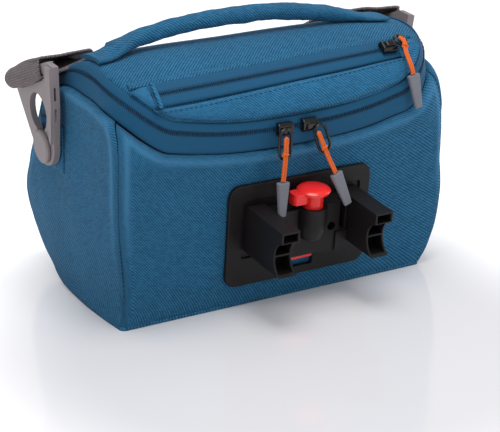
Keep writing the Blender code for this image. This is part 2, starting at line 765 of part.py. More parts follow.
def make_adapter(seat, plastic):
    """Adapter base with its barrel, and the two arms that reach for the handlebar."""
    half = ARM_SPREAD - 0.5 * ARM_WIDTH - RUNNING_GAP
    base_out = (seat + LIFT, BASE_FRONT)
    base = local_block("adapter_base", (-half, half), (BASE_BOTTOM, BASE_TOP), base_out, plastic, 0.002, 2)
    boolean(base, cutter("barrel_body", barrel_solid(), FACE_FRAME), "UNION")
    boss_up = (BASE_BOTTOM - 0.0006, BOSS_TOP)
    boss_out = (seat + 0.002, BASE_FRONT + BOSS_RISE)
    boss = local_cutter("base_boss", (BOSS_LEFT, half), boss_up, boss_out)
    boolean(base, boss, "UNION")
    bore_top = BUTTON_TOP
    bore_at = Matrix.Translation((0, -BARREL_OUT, 0.5 * (bore_top + BORE_FOOT)))
    bore = cylinder(BORE_RADIUS, bore_top - BORE_FOOT, bore_at, 20)
    boolean(base, cutter("barrel_bore", bore, FACE_FRAME), "DIFFERENCE")
    for side, x in (("left", -SCREW_X), ("right", SCREW_X)):
        at = Matrix.Translation((x, -BASE_FRONT, SCREW_UP)) @ Matrix.Rotation(math.pi / 2, 4, "X")
        hole = cylinder(SCREW_RADIUS, 2 * SCREW_DEPTH, at, 14)
        boolean(base, cutter(f"screw_hole_{side}", hole, FACE_FRAME), "DIFFERENCE")
    for number, (low, high) in enumerate(GROOVES):
        groove_out = (BASE_FRONT - GROOVE_DEPTH, BASE_FRONT + 0.01)
        groove = local_cutter(f"groove_{number}", (low, high), (GROOVE_FOOT, BASE_TOP + 0.01), groove_out)
        boolean(base, groove, "DIFFERENCE")
    make_arm("left", -ARM_SPREAD, seat, plastic)
    make_arm("right", ARM_SPREAD, seat, plastic)


def make_arm(side, x, seat, plastic):
    """One arm: its end is hollowed into three cells, and its front is cut to the handlebar's round."""
    out0 = seat + LIFT
    lip_foot = ARM_TOP - ARM_LIP
    half_chord = 0.5 * (lip_foot - ARM_BOTTOM)
    radius = (half_chord**2 + BAR_DEPTH**2) / (2 * BAR_DEPTH)
    middle = ARM_BOTTOM + half_chord
    reach = ARM_LENGTH - 0.001
    sweep = math.degrees(math.asin(half_chord / radius))
    hollow = arc((reach - BAR_DEPTH + radius, middle), radius, 180 + sweep, 180 - sweep, 8)
    outline = [(out0, ARM_BOTTOM), *hollow, (ARM_LENGTH, lip_foot), (ARM_LENGTH, ARM_TOP), (out0, ARM_TOP)]
    shape = prism([(-out, up) for out, up in outline], x - 0.5 * ARM_WIDTH, x + 0.5 * ARM_WIDTH)
    arm = place(f"adapter_arm_{side}", shape, plastic, FACE_FRAME)
    half = 0.5 * ARM_WIDTH - ARM_WALL
    cells = (
        (lip_foot + 0.5 * ARM_WALL, ARM_TOP - ARM_WALL),
        (middle + 0.5 * ARM_WALL, lip_foot - 0.5 * ARM_WALL),
        (ARM_BOTTOM + ARM_WALL, middle - 0.5 * ARM_WALL),
    )
    for number, cell in enumerate(cells):
        cell_out = (ARM_LENGTH - CELL_DEPTH, ARM_LENGTH + 0.01)
        cut = local_cutter(f"cell_{side}_{number}", (x - half, x + half), cell, cell_out)
        boolean(arm, cut, "DIFFERENCE")


def make_release(seat, red):
    """The red button in the barrel, and the latch bolt that it drives down into the plate's notch."""
    stem = BORE_RADIUS - RUNNING_GAP
    stem_foot = BORE_FOOT + BUTTON_TRAVEL + 0.0010
    cap_foot = BUTTON_TOP - BUTTON_CAP
    profile = [
        (0.0, BUTTON_TOP),
        (0.6 * BUTTON_RADIUS, BUTTON_TOP - 0.0005),
        (BUTTON_RADIUS - 0.0012, BUTTON_TOP - 0.0018),
        (BUTTON_RADIUS, BUTTON_TOP - 0.0030),
        (BUTTON_RADIUS - 0.0008, cap_foot),
        (stem, cap_foot - 0.0006),
        (stem, stem_foot),
        (0.0, stem_foot),
    ]
    button = turned("release_button", profile, red, Matrix.Translation((0, -BARREL_OUT, 0)), FACE_FRAME)
    lobe_centre = (-BUTTON_RADIUS, -BARREL_OUT, BUTTON_TOP - 0.0030 - 0.5 * LOBE_SIZE[2])
    lobe = cutter("button_lobe", block(LOBE_SIZE, lobe_centre, 0.003, "Z"), FACE_FRAME)
    boolean(button, lobe, "UNION")
    bolt_x = (-BOLT_HALF_WIDTH, BOLT_HALF_WIDTH)
    bolt_up = (BOLT_FOOT, BASE_BOTTOM - RUNNING_GAP)
    local_block("latch_bolt", bolt_x, bolt_up, (RUNNING_GAP, seat + 0.0028), red, 0.0008, 2)


def side_surface(tree, side, y, z):
    """X of the bag's side at a place, seen from outside."""
    hit = tree.ray_cast(Vector((side * 0.4, y, z)), Vector((-side, 0, 0)))
    return hit[0].x


def stud_frames(tree, side, name):
    """Empty at the stud on the bag's side, and the one that leans outwards with the hook."""
    circles = [*arc((0, 0), 0.7 * PATCH_SIDE, 0, 360, 16), *arc((0, 0), 0.4 * PATCH_SIDE, 0, 360, 12)]
    reach = max(side * side_surface(tree, side, STUD_Y + a, STUD_Z + b) for a, b in circles)
    upright = bpy.data.objects.new(f"stud_frame_{name}", None)
    leaning = bpy.data.objects.new(f"hook_frame_{name}", None)
    PARTS.objects.link(upright)
    PARTS.objects.link(leaning)
    splay = HOOK_SPLAY[name]
    over_patch = PATCH_THICKNESS + HOOK_STANDOFF + HOOK_FOOT_RADIUS * math.sin(splay)
    upright.matrix_world = Matrix.Translation((side * (reach + LIFT), STUD_Y, STUD_Z))
    turn = Matrix.Rotation(side * splay, 4, "Y")
    leaning.matrix_world = Matrix.Translation((side * (reach + LIFT + over_patch), STUD_Y, STUD_Z)) @ turn
    return upright, leaning


def layer(outline, side, low, high):
    """A flat outline in the stud's frame, given thickness between two distances from the bag's side."""
    return prism(outline, *sorted((side * low, side * high)))


def make_strap_end(upright, frame, side, name, plastic, cloth):
    """Patch, stud and hook at one side of the bag."""
    half = 0.5 * PATCH_SIDE
    patch_size = (PATCH_THICKNESS, PATCH_SIDE, PATCH_SIDE)
    patch = block(patch_size, (side * 0.5 * PATCH_THICKNESS, 0, 0), 0.15 * half, "X", 2)
    place(f"stud_patch_{name}", patch, cloth, upright)
    high = HOOK_THICKNESS
    outline = arc(HOOK_FOOT_CENTRE, HOOK_FOOT_RADIUS, 180, 338, 10) + list(HOOK_CORNERS)
    hook = place(f"strap_hook_{name}", layer(outline, side, 0, high), plastic, frame)
    rail = cutter(f"hook_rail_{name}", layer(RAIL_CORNERS, side, 0.001, high + RAIL_RISE), frame)
    boolean(hook, rail, "UNION")
    neck = STUD_NECK_RADIUS + 0.0006
    keyhole = arc(HOOK_HOLE, HOOK_HOLE_RADIUS, -70, 250, 18) + arc((0, 0), neck, 180, 360, 6)
    through = layer(keyhole, side, -high, 2 * high)
    boolean(hook, cutter(f"hook_keyhole_{name}", through, frame), "DIFFERENCE")
    slot = block((4 * HOOK_THICKNESS, *HOOK_SLOT_SIZE), (0, 0, 0), 0.0015, "X", 2)
    slot_at = Matrix.Translation((0, *HOOK_SLOT)) @ Matrix.Rotation(-HOOK_SLOT_TILT, 4, "X")
    bmesh.ops.transform(slot, matrix=slot_at, verts=slot.verts)
    boolean(hook, cutter(f"hook_slot_{name}", slot, frame), "DIFFERENCE")
    middle = side * 0.5 * (high + RAIL_RISE)
    for number, up in enumerate(RAIL_SLOTS):
        pocket = block((RAIL_SLOT_HEIGHT, 0.006, RAIL_SLOT_LENGTH), (middle, HOOK_CORNERS[-1][0], up))
        boolean(hook, cutter(f"rail_slot_{number}_{name}", pocket, frame), "DIFFERENCE")
    head = high + RUNNING_GAP
    neck_foot = -HOOK_STANDOFF
    profile = [
        (0.0, head + STUD_HEAD),
        (STUD_RADIUS - 0.0014, head + STUD_HEAD),
        (STUD_RADIUS, head + STUD_HEAD - 0.0010),
        (STUD_RADIUS, head),
        (STUD_NECK_RADIUS, head),
        (STUD_NECK_RADIUS, neck_foot),
        (0.0, neck_foot),
    ]
    turned(f"strap_stud_{name}", profile, plastic, Matrix.Rotation(side * math.pi / 2, 4, "Y"), frame, 20)


def strap_half(frame, side):
    """Places and width directions of one half of the strap, from its sewn tail to the middle of the back."""
    width = Vector((0, math.cos(HOOK_SLOT_TILT), -math.sin(HOOK_SLOT_TILT)))
    above = Vector((0, math.sin(HOOK_SLOT_TILT), math.cos(HOOK_SLOT_TILT)))
    lean = frame.matrix_world.to_3x3()
    rows = []
    for outward, up in STRAP_LOOP:
        local = Vector((side * (HOOK_THICKNESS + outward), *HOOK_SLOT)) + above * up
        rows.append((frame.matrix_world @ local, lean @ width))
    for x, y, z, turn in STRAP_ROUTE:
        angle = math.radians(turn)
        rows.append((Vector((side * x, y, z)), Vector((0, math.sin(angle), -math.cos(angle)))))
    return rows


def make_strap(frames, webbing):
    """Shoulder strap: folded round one hook's bar, round the bag's back and round the other hook's bar."""
    left = strap_half(frames[0], -1)
    right = strap_half(frames[1], 1)
    route = left + list(reversed(right))[1:]
    places = smooth_line([here for here, width in route], STRAP_SMOOTHING)
    widths = smooth_line([width for here, width in route], STRAP_SMOOTHING)
    shape = bmesh.new()
    rows = []
    for i, (here, width) in enumerate(zip(places, widths)):
        ahead, behind = places[min(i + 1, len(places) - 1)], places[max(i - 1, 0)]
        along = (ahead - behind).normalized()
        across = (width - along * width.dot(along)).normalized()
        through = along.cross(across) * 0.5 * STRAP_THICKNESS
        wide = across * 0.5 * STRAP_WIDTH
        corners = ((-1, -1), (1, -1), (1, 1), (-1, 1))
        rows.append([shape.verts.new(here + a * wide + b * through) for a, b in corners])
    for a, b in zip(rows, rows[1:]):
        for k in range(4):
            shape.faces.new((a[k], b[k], b[(k + 1) % 4], a[(k + 1) % 4]))
    shape.faces.new(list(reversed(rows[0])))
    shape.faces.new(rows[-1])
    bmesh.ops.recalc_face_normals(shape, faces=shape.faces)
    return place("shoulder_strap", shape, webbing)


def tube(name, points, radius, material, cyclic=False, resolution=2):
    """A round wire or cord along a line of points."""
    curve = bpy.data.curves.new(name, "CURVE")
    curve.dimensions = "3D"
    curve.bevel_depth = radius
    curve.bevel_resolution = resolution
    curve.use_fill_caps = not cyclic
    spline = curve.splines.new("POLY")
    spline.points.add(len(points) - 1)
    for target, point in zip(spline.points, points):
        target.co = (*point, 1.0)
    spline.use_cyclic_u = cyclic
    curve.materials.append(material)
    obj = bpy.data.objects.new(name, curve)
    PARTS.objects.link(obj)
    return obj


def puller_loop(top, foot, facing, width):
    """A long loop of wire between two points, flat to the way it faces."""
    down = Vector(foot) - Vector(top)
    length = down.length
    down.normalize()
    across = down.cross(Vector(facing)).normalized()
    half = 0.5 * width
    ends = arc((0, half), half, 180, 360, 6) + arc((0, length - half), half, 0, 180, 6)
    return [Vector(top) + across * a + down * b for a, b in ends]


def make_slider(name, matrix, material):
    """Zip slider: a C-shaped body that straddles the teeth."""
    half = 0.5 * SLIDER_WIDTH
    groove = 0.5 * COIL_WIDTH + 0.0004
    deep = COIL_HEIGHT + LIFT + 0.0005
    outline = [
        (-half, LIFT),
        (-groove, LIFT),
        (-groove, deep),
        (groove, deep),
        (groove, LIFT),
        (half, LIFT),
        (half, 0.6 * SLIDER_THICKNESS),
        (0.6 * half, SLIDER_THICKNESS),
        (-0.6 * half, SLIDER_THICKNESS),
        (-half, 0.6 * SLIDER_THICKNESS),
    ]
    shape = prism(outline, -0.5 * SLIDER_LENGTH, 0.5 * SLIDER_LENGTH)
    slider = place(name, shape, material)
    slider.matrix_world = matrix
    crown_z = SLIDER_THICKNESS + 0.5 * CROWN_SIZE[2] - LIFT
    crown = cutter(f"{name}_crown", block(CROWN_SIZE, (0, 0, crown_z), 0.0010, "Y", 2))
    crown.matrix_world = matrix
    boolean(slider, crown, "UNION")
    return slider


def make_pull(name, facing, wire, cord, foot, metal, orange, grey):
    """A zip's wire puller, the cord tied to it and the grip at the cord's end."""
    tube(f"zip_puller_{name}", puller_loop(*wire, facing, PULLER_WIDTH), PULLER_WIRE, metal, True, 1)
    tube(f"pull_cord_{name}", smooth_line(cord, 8), CORD_RADIUS, orange)
    end = Vector(cord[-1])
    along = (Vector(foot) - end).normalized()
    make_tab(f"pull_tab_{name}", end + along * CORD_GAP, along, grey)


def smooth_line(points, steps):
    """A smooth curve through three or more points."""
    points = [Vector(p) for p in points]
    padded = [2 * points[0] - points[1], *points, 2 * points[-1] - points[-2]]
    line = []
    for a, b, c, d in zip(padded, padded[1:], padded[2:], padded[3:]):
        for k in range(steps):
            t = k / steps
            bend = (2 * a - 5 * b + 4 * c - d) * t**2
            twist = (3 * b - a - 3 * c + d) * t**3
            line.append(0.5 * (2 * b + (c - a) * t + bend + twist))
    return line + [points[-1]]


def pocket_slider_place():
    """Where the pocket's slider sits on its tape."""
    x = SLIDER_PLACES["pocket"]
    y = -LID_FRONT + 0.5 * (POCKET_FOLD + POCKET_TOP) + POCKET_SLANT * x
    base = lid_point(x, y, POCKET_LIFT + POCKET_TAPE)
    normal = (lid_point(x, y, 1.0) - base).normalized()
    up = Vector((1, 0, 0)).cross(normal)
    matrix = Matrix((Vector((1, 0, 0)), -up, normal)).transposed().to_4x4()
    matrix.translation = base
    return matrix


def make_pulls(coil_line, metal, orange, grey):
    """The sliders of both zips with their pullers, cords and grips."""
    for name, (facing, wire, cord, foot) in PULLS.items():
        if name == "pocket":
            matrix = pocket_slider_place()
        else:
            x = SLIDER_PLACES[name]
            on_zip = min(coil_line, key=lambda p: abs(p.x - x) + (p.y > 0))
            matrix = Matrix.Rotation(math.pi / 2, 4, "X")
            matrix.translation = (x, on_zip.y - LIFT, on_zip.z)
        make_slider(f"zip_slider_{name}", matrix, metal)
        make_pull(name, facing, wire, cord, foot, metal, orange, grey)


def make_tab(name, top, along, material):
    """Moulded grip: a narrow block that tapers towards its foot."""
    shape = block(TAB_SIZE, (0, 0, -0.5 * TAB_SIZE[2]), 0.0014, "Z", 2)
    foot = [v for v in shape.verts if v.co.z < -0.9 * TAB_SIZE[2]]
    bmesh.ops.scale(shape, vec=(TAB_TAPER, TAB_TAPER, 1), verts=foot)
    tab = place(name, shape, material)
    turn = Vector((0, 0, -1)).rotation_difference(along)
    tab.matrix_world = Matrix.Translation(top) @ turn.to_matrix().to_4x4()
    return tab


def clear_scene():
    for obj in list(bpy.data.objects):
        bpy.data.objects.remove(obj, do_unlink=True)


clear_scene()
PARTS = collection_named("handlebar_bag")
CUTTERS = collection_named("cutters", helper=True)
FACE_FRAME = bpy.data.objects.new("face_frame", None)
PARTS.objects.link(FACE_FRAME)
FACE_FRAME.location = (ADAPTER_X, face_y(ADAPTER_HEIGHT), ADAPTER_HEIGHT)
FACE_FRAME.rotation_euler = (FACE_LEAN, 0, 0)

BLUE_CLOTH = finish("blue woven cloth", (0.035, 0.17, 0.29), 0.8)
LID_CLOTH = finish("blue lid cloth", (0.04, 0.18, 0.30), 0.8)
POCKET_FABRIC = finish("blue pocket cloth", (0.05, 0.21, 0.33), 0.75)
ZIP_TAPE = finish("zip tape", (0.015, 0.11, 0.20), 0.6)
TEETH = finish("zip teeth", (0.01, 0.04, 0.08), 0.4)
BLACK = finish("black moulded plastic", (0.018, 0.016, 0.017), 0.45)
RED = finish("red release plastic", (0.80, 0.02, 0.04), 0.3)
GREY = finish("grey moulded plastic", (0.16, 0.15, 0.17), 0.5)
WEBBING = finish("grey webbing", (0.17, 0.15, 0.17), 0.85)
METAL = finish("black metal", (0.01, 0.01, 0.012), 0.25, 1.0)
ORANGE = finish("orange cord", (0.90, 0.16, 0.03), 0.6)

SKIN_TREE, COIL_LINE = make_body(BLUE_CLOTH, LID_CLOTH, ZIP_TAPE)
make_main_coil(COIL_LINE[2:-2], TEETH)
make_pocket(POCKET_FABRIC, ZIP_TAPE, TEETH)
make_handle(BLUE_CLOTH)
PLATE_SEAT = make_plate(BLACK)
make_adapter(PLATE_SEAT, BLACK)
make_release(PLATE_SEAT, RED)
HOOK_FRAMES = []
for SIDE, SIDE_NAME in ((-1, "left"), (1, "right")):
    UPRIGHT, LEANING = stud_frames(SKIN_TREE, SIDE, SIDE_NAME)
    make_strap_end(UPRIGHT, LEANING, SIDE, SIDE_NAME, GREY, BLUE_CLOTH)
    HOOK_FRAMES.append(LEANING)
make_strap(HOOK_FRAMES, WEBBING)
make_pulls(COIL_LINE, METAL, ORANGE, GREY)
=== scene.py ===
"""Looks of the bicycle handlebar bag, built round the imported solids.

Laid out as an add-on: sizes and colours are properties, each group of pieces has its operator, and main()
calls them in order. All lengths are metres.
"""

import math

import bmesh
import bpy
from mathutils import Matrix, Vector, noise
from mathutils.kdtree import KDTree


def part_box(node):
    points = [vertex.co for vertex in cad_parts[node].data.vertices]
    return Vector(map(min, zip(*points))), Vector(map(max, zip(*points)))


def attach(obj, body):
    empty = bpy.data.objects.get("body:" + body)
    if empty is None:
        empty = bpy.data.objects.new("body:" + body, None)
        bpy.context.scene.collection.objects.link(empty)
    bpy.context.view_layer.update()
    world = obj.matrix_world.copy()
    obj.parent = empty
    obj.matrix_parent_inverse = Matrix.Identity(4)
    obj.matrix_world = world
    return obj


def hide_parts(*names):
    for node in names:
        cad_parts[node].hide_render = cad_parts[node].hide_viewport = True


bl_info = {
    "name": "Handlebar bag",
    "version": (1, 0, 0),
    "blender": (4, 5, 0),
    "location": "3D View > Sidebar > Bag",
    "description": "Builds the cloth, zips, straps and fittings of a handlebar bag over its solids",
    "category": "Add Mesh",
}

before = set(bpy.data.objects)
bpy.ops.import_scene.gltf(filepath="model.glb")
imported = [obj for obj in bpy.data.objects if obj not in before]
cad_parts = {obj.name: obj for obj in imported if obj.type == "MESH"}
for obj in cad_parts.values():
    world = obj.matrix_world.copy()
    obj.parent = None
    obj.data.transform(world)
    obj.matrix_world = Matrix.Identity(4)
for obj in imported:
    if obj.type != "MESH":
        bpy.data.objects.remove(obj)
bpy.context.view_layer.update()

# The soft body's form, as in the source of the solids
HALF_WIDTH = 0.131
FACE_REACH = 0.0605
FACE_LEAN = math.radians(5.8)
BACK_REACH = 0.092
LID_HALF_WIDTH = 0.126
LID_FRONT = 0.0755
LID_BACK = 0.044
LID_HEIGHT = 0.1838
LID_END_DROP = 0.003
LID_END_FULLNESS = 0.004
ZIP_BAND = 0.0212
ZIP_BAND_AT_HINGE = 0.014
COIL_PLACE = 0.66
FRONT_CORNER = 0.036
LID_CORNER = 0.038
LID_BACK_CORNER = 0.024
FRONT_BOW = 0.0011
BACK_CORNER = 0.012
SIDE_BOW = 0.003
TOP_BULGE = 0.0025
WALL_SECTIONS = (
    # height, left, right, back, front corner, back corner
    (0.000, 0.970, 0.955, 0.31, 0.12, 0.60),
    (0.032, 0.965, 0.978, 0.53, 0.15, 0.66),
    (0.070, 0.955, 1.005, 0.70, 0.18, 0.78),
    (0.120, 0.955, 1.028, 0.86, 0.20, 0.90),
    (0.240, 0.962, 1.064, 1.03, 0.23, 0.96),
    (0.400, 0.986, 1.075, 1.07, 0.25, 1.00),
    (0.600, 1.002, 1.048, 0.92, 0.28, 1.00),
    (0.800, 1.002, 1.038, 0.75, 0.33, 1.00),
    (0.920, 0.998, 1.022, 0.64, 0.55, 1.20),
    (1.000, 0.992, 1.005, 0.58, 1.00, 1.60),
)
LID_PROFILE = (
    # depth, height
    (0.000, 0.763),
    (0.028, 0.830),
    (0.094, 0.893),
    (0.192, 0.946),
    (0.322, 0.984),
    (0.470, 1.000),
    (0.620, 0.991),
    (0.745, 0.962),
    (0.880, 0.914),
    (1.000, 0.862),
    (1.120, 0.785),
)
# Where one stretch of the outline seen from above ends and the next begins
STRETCHES = (0, 6, 12, 22, 28, 34, 38, 46, 50)
SEAM_LEFT, SEAM_RIGHT, HINGE_RIGHT, HINGE_LEFT, AROUND = 8, 26, 35, 49, 50

POCKET_FOLD = 0.0087
POCKET_TOP = 0.0215
POCKET_SLANT = 0.028
POCKET_REACH = 0.117
POCKET_TAPE_REACH = 0.1035
POCKET_LIFT = 0.0007
POCKET_CLOTH = 0.0016
POCKET_TAPE = 0.0012

HANDLE_REACH = 0.1225
HANDLE_Y = -0.013
HANDLE_RISE = 0.0149
HANDLE_RADIUS = 0.0062
HANDLE_TAB_HALF_WIDTH = 0.0150
HANDLE_TAB_HALF_THICKNESS = 0.0016
HANDLE_SECTIONS = (
    # place along the reach, rise, share of round
    (-1.00, 0.00, 0.0),
    (-0.92, 0.05, 0.05),
    (-0.84, 0.24, 0.30),
    (-0.76, 0.44, 0.72),
    (-0.68, 0.59, 0.95),
    (-0.56, 0.75, 1.0),
    (-0.43, 0.88, 1.0),
    (-0.29, 0.97, 1.0),
    (-0.13, 1.00, 1.0),
    (0.04, 0.97, 1.0),
    (0.21, 0.88, 1.0),
    (0.37, 0.71, 1.0),
    (0.51, 0.51, 0.95),
    (0.61, 0.35, 0.80),
    (0.70, 0.21, 0.45),
    (0.79, 0.10, 0.15),
    (0.86, 0.02, 0.0),
    (0.92, 0.00, 0.0),
)

HOOK_FRAMES = {-1: (-0.13591, math.radians(3)), 1: (0.14382, math.radians(6))}
STUD_Y = 0.028
STUD_Z = 0.112
HOOK_THICKNESS = 0.0046
HOOK_SLOT = (0.0112, 0.0452)
HOOK_SLOT_TILT = math.radians(22)
STRAP_LOOP = (
    # outwards from the hook's outer face, up from its slot and across it
    (-0.0360, 0.0092),
    (-0.0190, 0.0056),
    (-0.0125, 0.0034),
    (-0.0050, -0.0002),
    (0.0010, -0.0011),
    (0.0062, -0.0012),
    (0.0098, 0.0018),
    (0.0108, 0.0066),
    (0.0076, 0.0112),
    (0.0000, 0.0135),
    (-0.0180, 0.0126),
    (-0.0340, 0.0126),
)
STRAP_HALF = 0.0215
STRAP_EDGES = (
    # for each row of the loop: share of its outward reach at the front edge, then how far that edge
    # runs on, how far it droops, and how far the back edge rises
    (1.00, 0.009, 0.0045, 0.0025),
    (1.00, 0.009, 0.0045, 0.0030),
    (1.00, 0.007, 0.0030, 0.0025),
    (1.00, 0.001, 0.0000, 0.0000),
    (1.00, 0.001, 0.0000, 0.0000),
    (0.40, 0.001, 0.0000, 0.0000),
    (0.28, 0.001, 0.0000, 0.0000),
    (0.22, 0.001, 0.0000, 0.0000),
    (0.20, 0.001, 0.0000, 0.0000),
    (1.00, 0.001, 0.0000, 0.0000),
    (1.00, 0.001, 0.0000, 0.0000),
    (1.00, 0.001, 0.0000, 0.0000),
)
STRAP_ROUTE = (
    # side, towards the back, up, turn of the width from the upright in degrees
    (0.0960, 0.0570, 0.1610, 55),
    (0.0860, 0.0670, 0.1480, 42),
    (0.0700, 0.0745, 0.1360, 30),
    (0.0450, 0.0800, 0.1280, 20),
    (0.0200, 0.0820, 0.1250, 15),
    (0.0000, 0.0825, 0.1240, 14),
)
CORDS = {
    "left": ((-0.0122, -0.0884, 0.1290), (-0.0138, -0.0896, 0.1130), (-0.0150, -0.0892, 0.0990)),
    "right": ((0.0142, -0.0880, 0.1291), (0.0204, -0.0896, 0.1130), (0.0266, -0.0910, 0.0990)),
    "pocket": (
        (0.0996, -0.0604, 0.1792),
        (0.0998, -0.0652, 0.1770),
        (0.0972, -0.0715, 0.1712),
        (0.0969, -0.0787, 0.1632),
        (0.0980, -0.0799, 0.1572),
    ),
}


# The way the doubled cords face, from the flat of both strands
CORD_FACING = (0.1, -0.85, 0.5)

# Cloth of the walls: where the panels start and end, the rounded fold under the zip's seam, and the painted
# highlight along that fold
PANEL_ROWS = 70
PANEL_TRIM = 0.06
WALL_FOOT = 0.004
ROLL_DEPTH = 0.0034
ROLL_REACH = 0.0055
ROLL_FADE = 0.014
# Painted highlight along that fold: its distance from the seams, its width, the height where it starts and
# the rise over which it grows to full
PAINTED_HIGHLIGHT_PLACE = 0.0062
PAINTED_HIGHLIGHT_WIDTH = 0.0022
PAINTED_HIGHLIGHT_FROM = 0.045
PAINTED_HIGHLIGHT_FADE = 0.05

# Lid, pocket and zips
LID_SAMPLE = 0.002
LID_POLE = 0.0005
HINGE_LENGTH = 0.25
COIL_GAP = 0.006
POCKET_COIL_REACH = 0.097
POCKET_SEAM = 0.0005
POCKET_TAPE_SEAM = 0.0003
POCKET_FULLNESS = 0.0010
STITCH_INSET = 0.0022
STITCH_THICKNESS = 0.0006
TOP_FOLD_WIDTH = 0.0042
END_BAR_INSET = 0.0045
END_BAR_WIDTH = 0.0030

# Thickness of what isn't as thick as the body's cloth
TAPE_WALL = 0.0012
POCKET_TAPE_WALL = 0.0006
TOP_FOLD_WALL = 0.0009
END_BAR_WALL = 0.0007
WEBBING_WALL = 0.0017
PATCH_WALL = 0.0010

LIGHTS = (
    # name, place, size, power
    ("top softbox", (-0.10, -0.22, 1.30), 0.7, 10.0),
    ("left softbox", (-1.25, -0.35, 0.75), 0.7, 1.3),
    ("front softbox", (0.50, -1.60, 0.80), 0.9, 3.2),
    ("right softbox", (1.20, 0.10, 0.60), 0.6, 3.0),
)
LIGHTS_AIM = (0.0, 0.0, 0.09)
FLOOR_DEPTH = 0.0002
FLOOR_GLOW = (("From Min", 0.14), ("From Max", 0.30), ("To Min", 0.05), ("To Max", 0.6))
FLOOR_GLOW_SHIFT = (0.03, 0.14, 0.0)
CAMERA_TURN = math.radians(-30.62)
CAMERA_RISE = math.radians(20.59)
CAMERA_ROLL = math.radians(0.25)
CAMERA_AIM = (0.0114, 0.0, 0.0399)
CAMERA_DISTANCE = 1.3416
SENSOR_WIDTH = 36.0
FOCAL_PIXELS = 1803
PICTURE_PIXELS = 500


def length_property(name, description, default):
    return bpy.props.FloatProperty(name=name, description=description, default=default, unit="LENGTH")


def colour_property(name, description, default):
    return bpy.props.FloatVectorProperty(
        name=name, description=description, default=default, subtype="COLOR", size=3, min=0.0, max=1.0
    )


class BagSizes(bpy.types.PropertyGroup):
    """Sizes of the bag's fine detail."""

    cloth_wall: length_property("Cloth wall", "Thickness of the padded cloth", 0.0024)
    tooth_pitch: length_property("Tooth pitch", "Distance between the teeth of the main zip", 0.0015)
    stitch_length: length_property("Stitch length", "Length of one stitch of a seam", 0.0026)
    strand_radius: length_property("Strand radius", "Radius of one strand of a pull cord", 0.00095)
    edge_round: length_property("Edge round", "Rounding of the edges of moulded pieces", 0.0007)


class BagColours(bpy.types.PropertyGroup):
    """Colours of the bag's cloths and plastics."""

    cloth_light: colour_property("Cloth, light thread", "Lighter thread of the weave", (0.026, 0.166, 0.318))
    cloth_dark: colour_property("Cloth, dark thread", "Darker thread of the weave", (0.002, 0.030, 0.076))
    tape: colour_property("Zip tape", "Tape of the zips", (0.009, 0.094, 0.200))
    teeth: colour_property("Zip teeth", "Coil of the zips", (0.004, 0.026, 0.060))
    plastic: colour_property("Black plastic", "Plate and adapter", (0.0065, 0.0050, 0.0056))
    button: colour_property("Button", "Release button and latch", (0.72, 0.016, 0.014))
    fitting: colour_property("Hooks", "Strap hooks and studs", (0.205, 0.178, 0.185))
    grip: colour_property("Grips", "Grips of the zip pulls", (0.145, 0.148, 0.172))
    webbing: colour_property("Webbing", "Shoulder strap", (0.190, 0.160, 0.170))
    metal: colour_property("Zip metal", "Sliders and pullers", (0.004, 0.004, 0.0045))
    cord: colour_property("Pull cord", "Cords of the zip pulls", (1.0, 0.185, 0.028))


# Forms


def blend_between(rows, value, column=1):
    """A column of a table, read off a smooth curve at a value of the first."""
    value = min(max(value, rows[0][0]), rows[-1][0])
    i = max(k for k in range(len(rows) - 1) if rows[k][0] <= value)
    (x0, y0), (x1, y1) = (rows[i][0], rows[i][column]), (rows[i + 1][0], rows[i + 1][column])

    def slope(k):
        a, b = rows[max(k - 1, 0)], rows[min(k + 1, len(rows) - 1)]
        return (b[column] - a[column]) / (b[0] - a[0])

    t = (value - x0) / (x1 - x0)
    span = x1 - x0
    start = (1 + 2 * t) * (1 - t) ** 2 * y0 + t * (1 - t) ** 2 * span * slope(i)
    return start + t * t * (3 - 2 * t) * y1 + t * t * (t - 1) * span * slope(i + 1)


def lid_height(x, y):
    """Height of the lid's outer surface over the bottom."""
    end = min(abs(x) / LID_HALF_WIDTH, 1.0)
    depth = (y + LID_END_FULLNESS * end**3 + LID_FRONT) / (LID_FRONT + LID_BACK)
    return LID_HEIGHT * blend_between(LID_PROFILE, depth) - LID_END_DROP * end**4


def lid_point(x, y, lift):
    """A point over the lid, at a distance from its surface."""
    step = 0.0004
    slope_x = (lid_height(x + step, y) - lid_height(x - step, y)) / (2 * step)
    slope_y = (lid_height(x, y + step) - lid_height(x, y - step)) / (2 * step)
    normal = Vector((-slope_x, -slope_y, 1)).normalized()
    return Vector((x, y, lid_height(x, y))) + normal * lift


def outline(left, right, front, back, front_corner, back_corner, bow, front_bow, place):
    """A point of one section seen from above. The place runs round it as the STRETCHES say."""
    place %= AROUND
    k = max(i for i in range(8) if STRETCHES[i] <= place)
    t = (place - STRETCHES[k]) / (STRETCHES[k + 1] - STRETCHES[k])
    front -= front_bow
    low, high = -front + front_corner, back - back_corner
    bulge = 4 * t * (1 - t)
    if k == 0:
        return -left - bow * bulge, high + (low - high) * t
    if k == 2:
        return front_corner - left + (right + left - 2 * front_corner) * t, -front - front_bow * bulge
    if k == 4:
        return right + bow * bulge, low + (high - low) * t
    if k == 6:
        return right - back_corner - (left + right - 2 * back_corner) * t, back
    centre, radius, start = {
        1: ((front_corner - left, low), front_corner, 180),
        3: ((right - front_corner, low), front_corner, 270),
        5: ((right - back_corner, high), back_corner, 0),
        7: ((back_corner - left, high), back_corner, 90),
    }[k]
    angle = math.radians(start + 90 * t)
    return centre[0] + radius * math.cos(angle), centre[1] + radius * math.sin(angle)


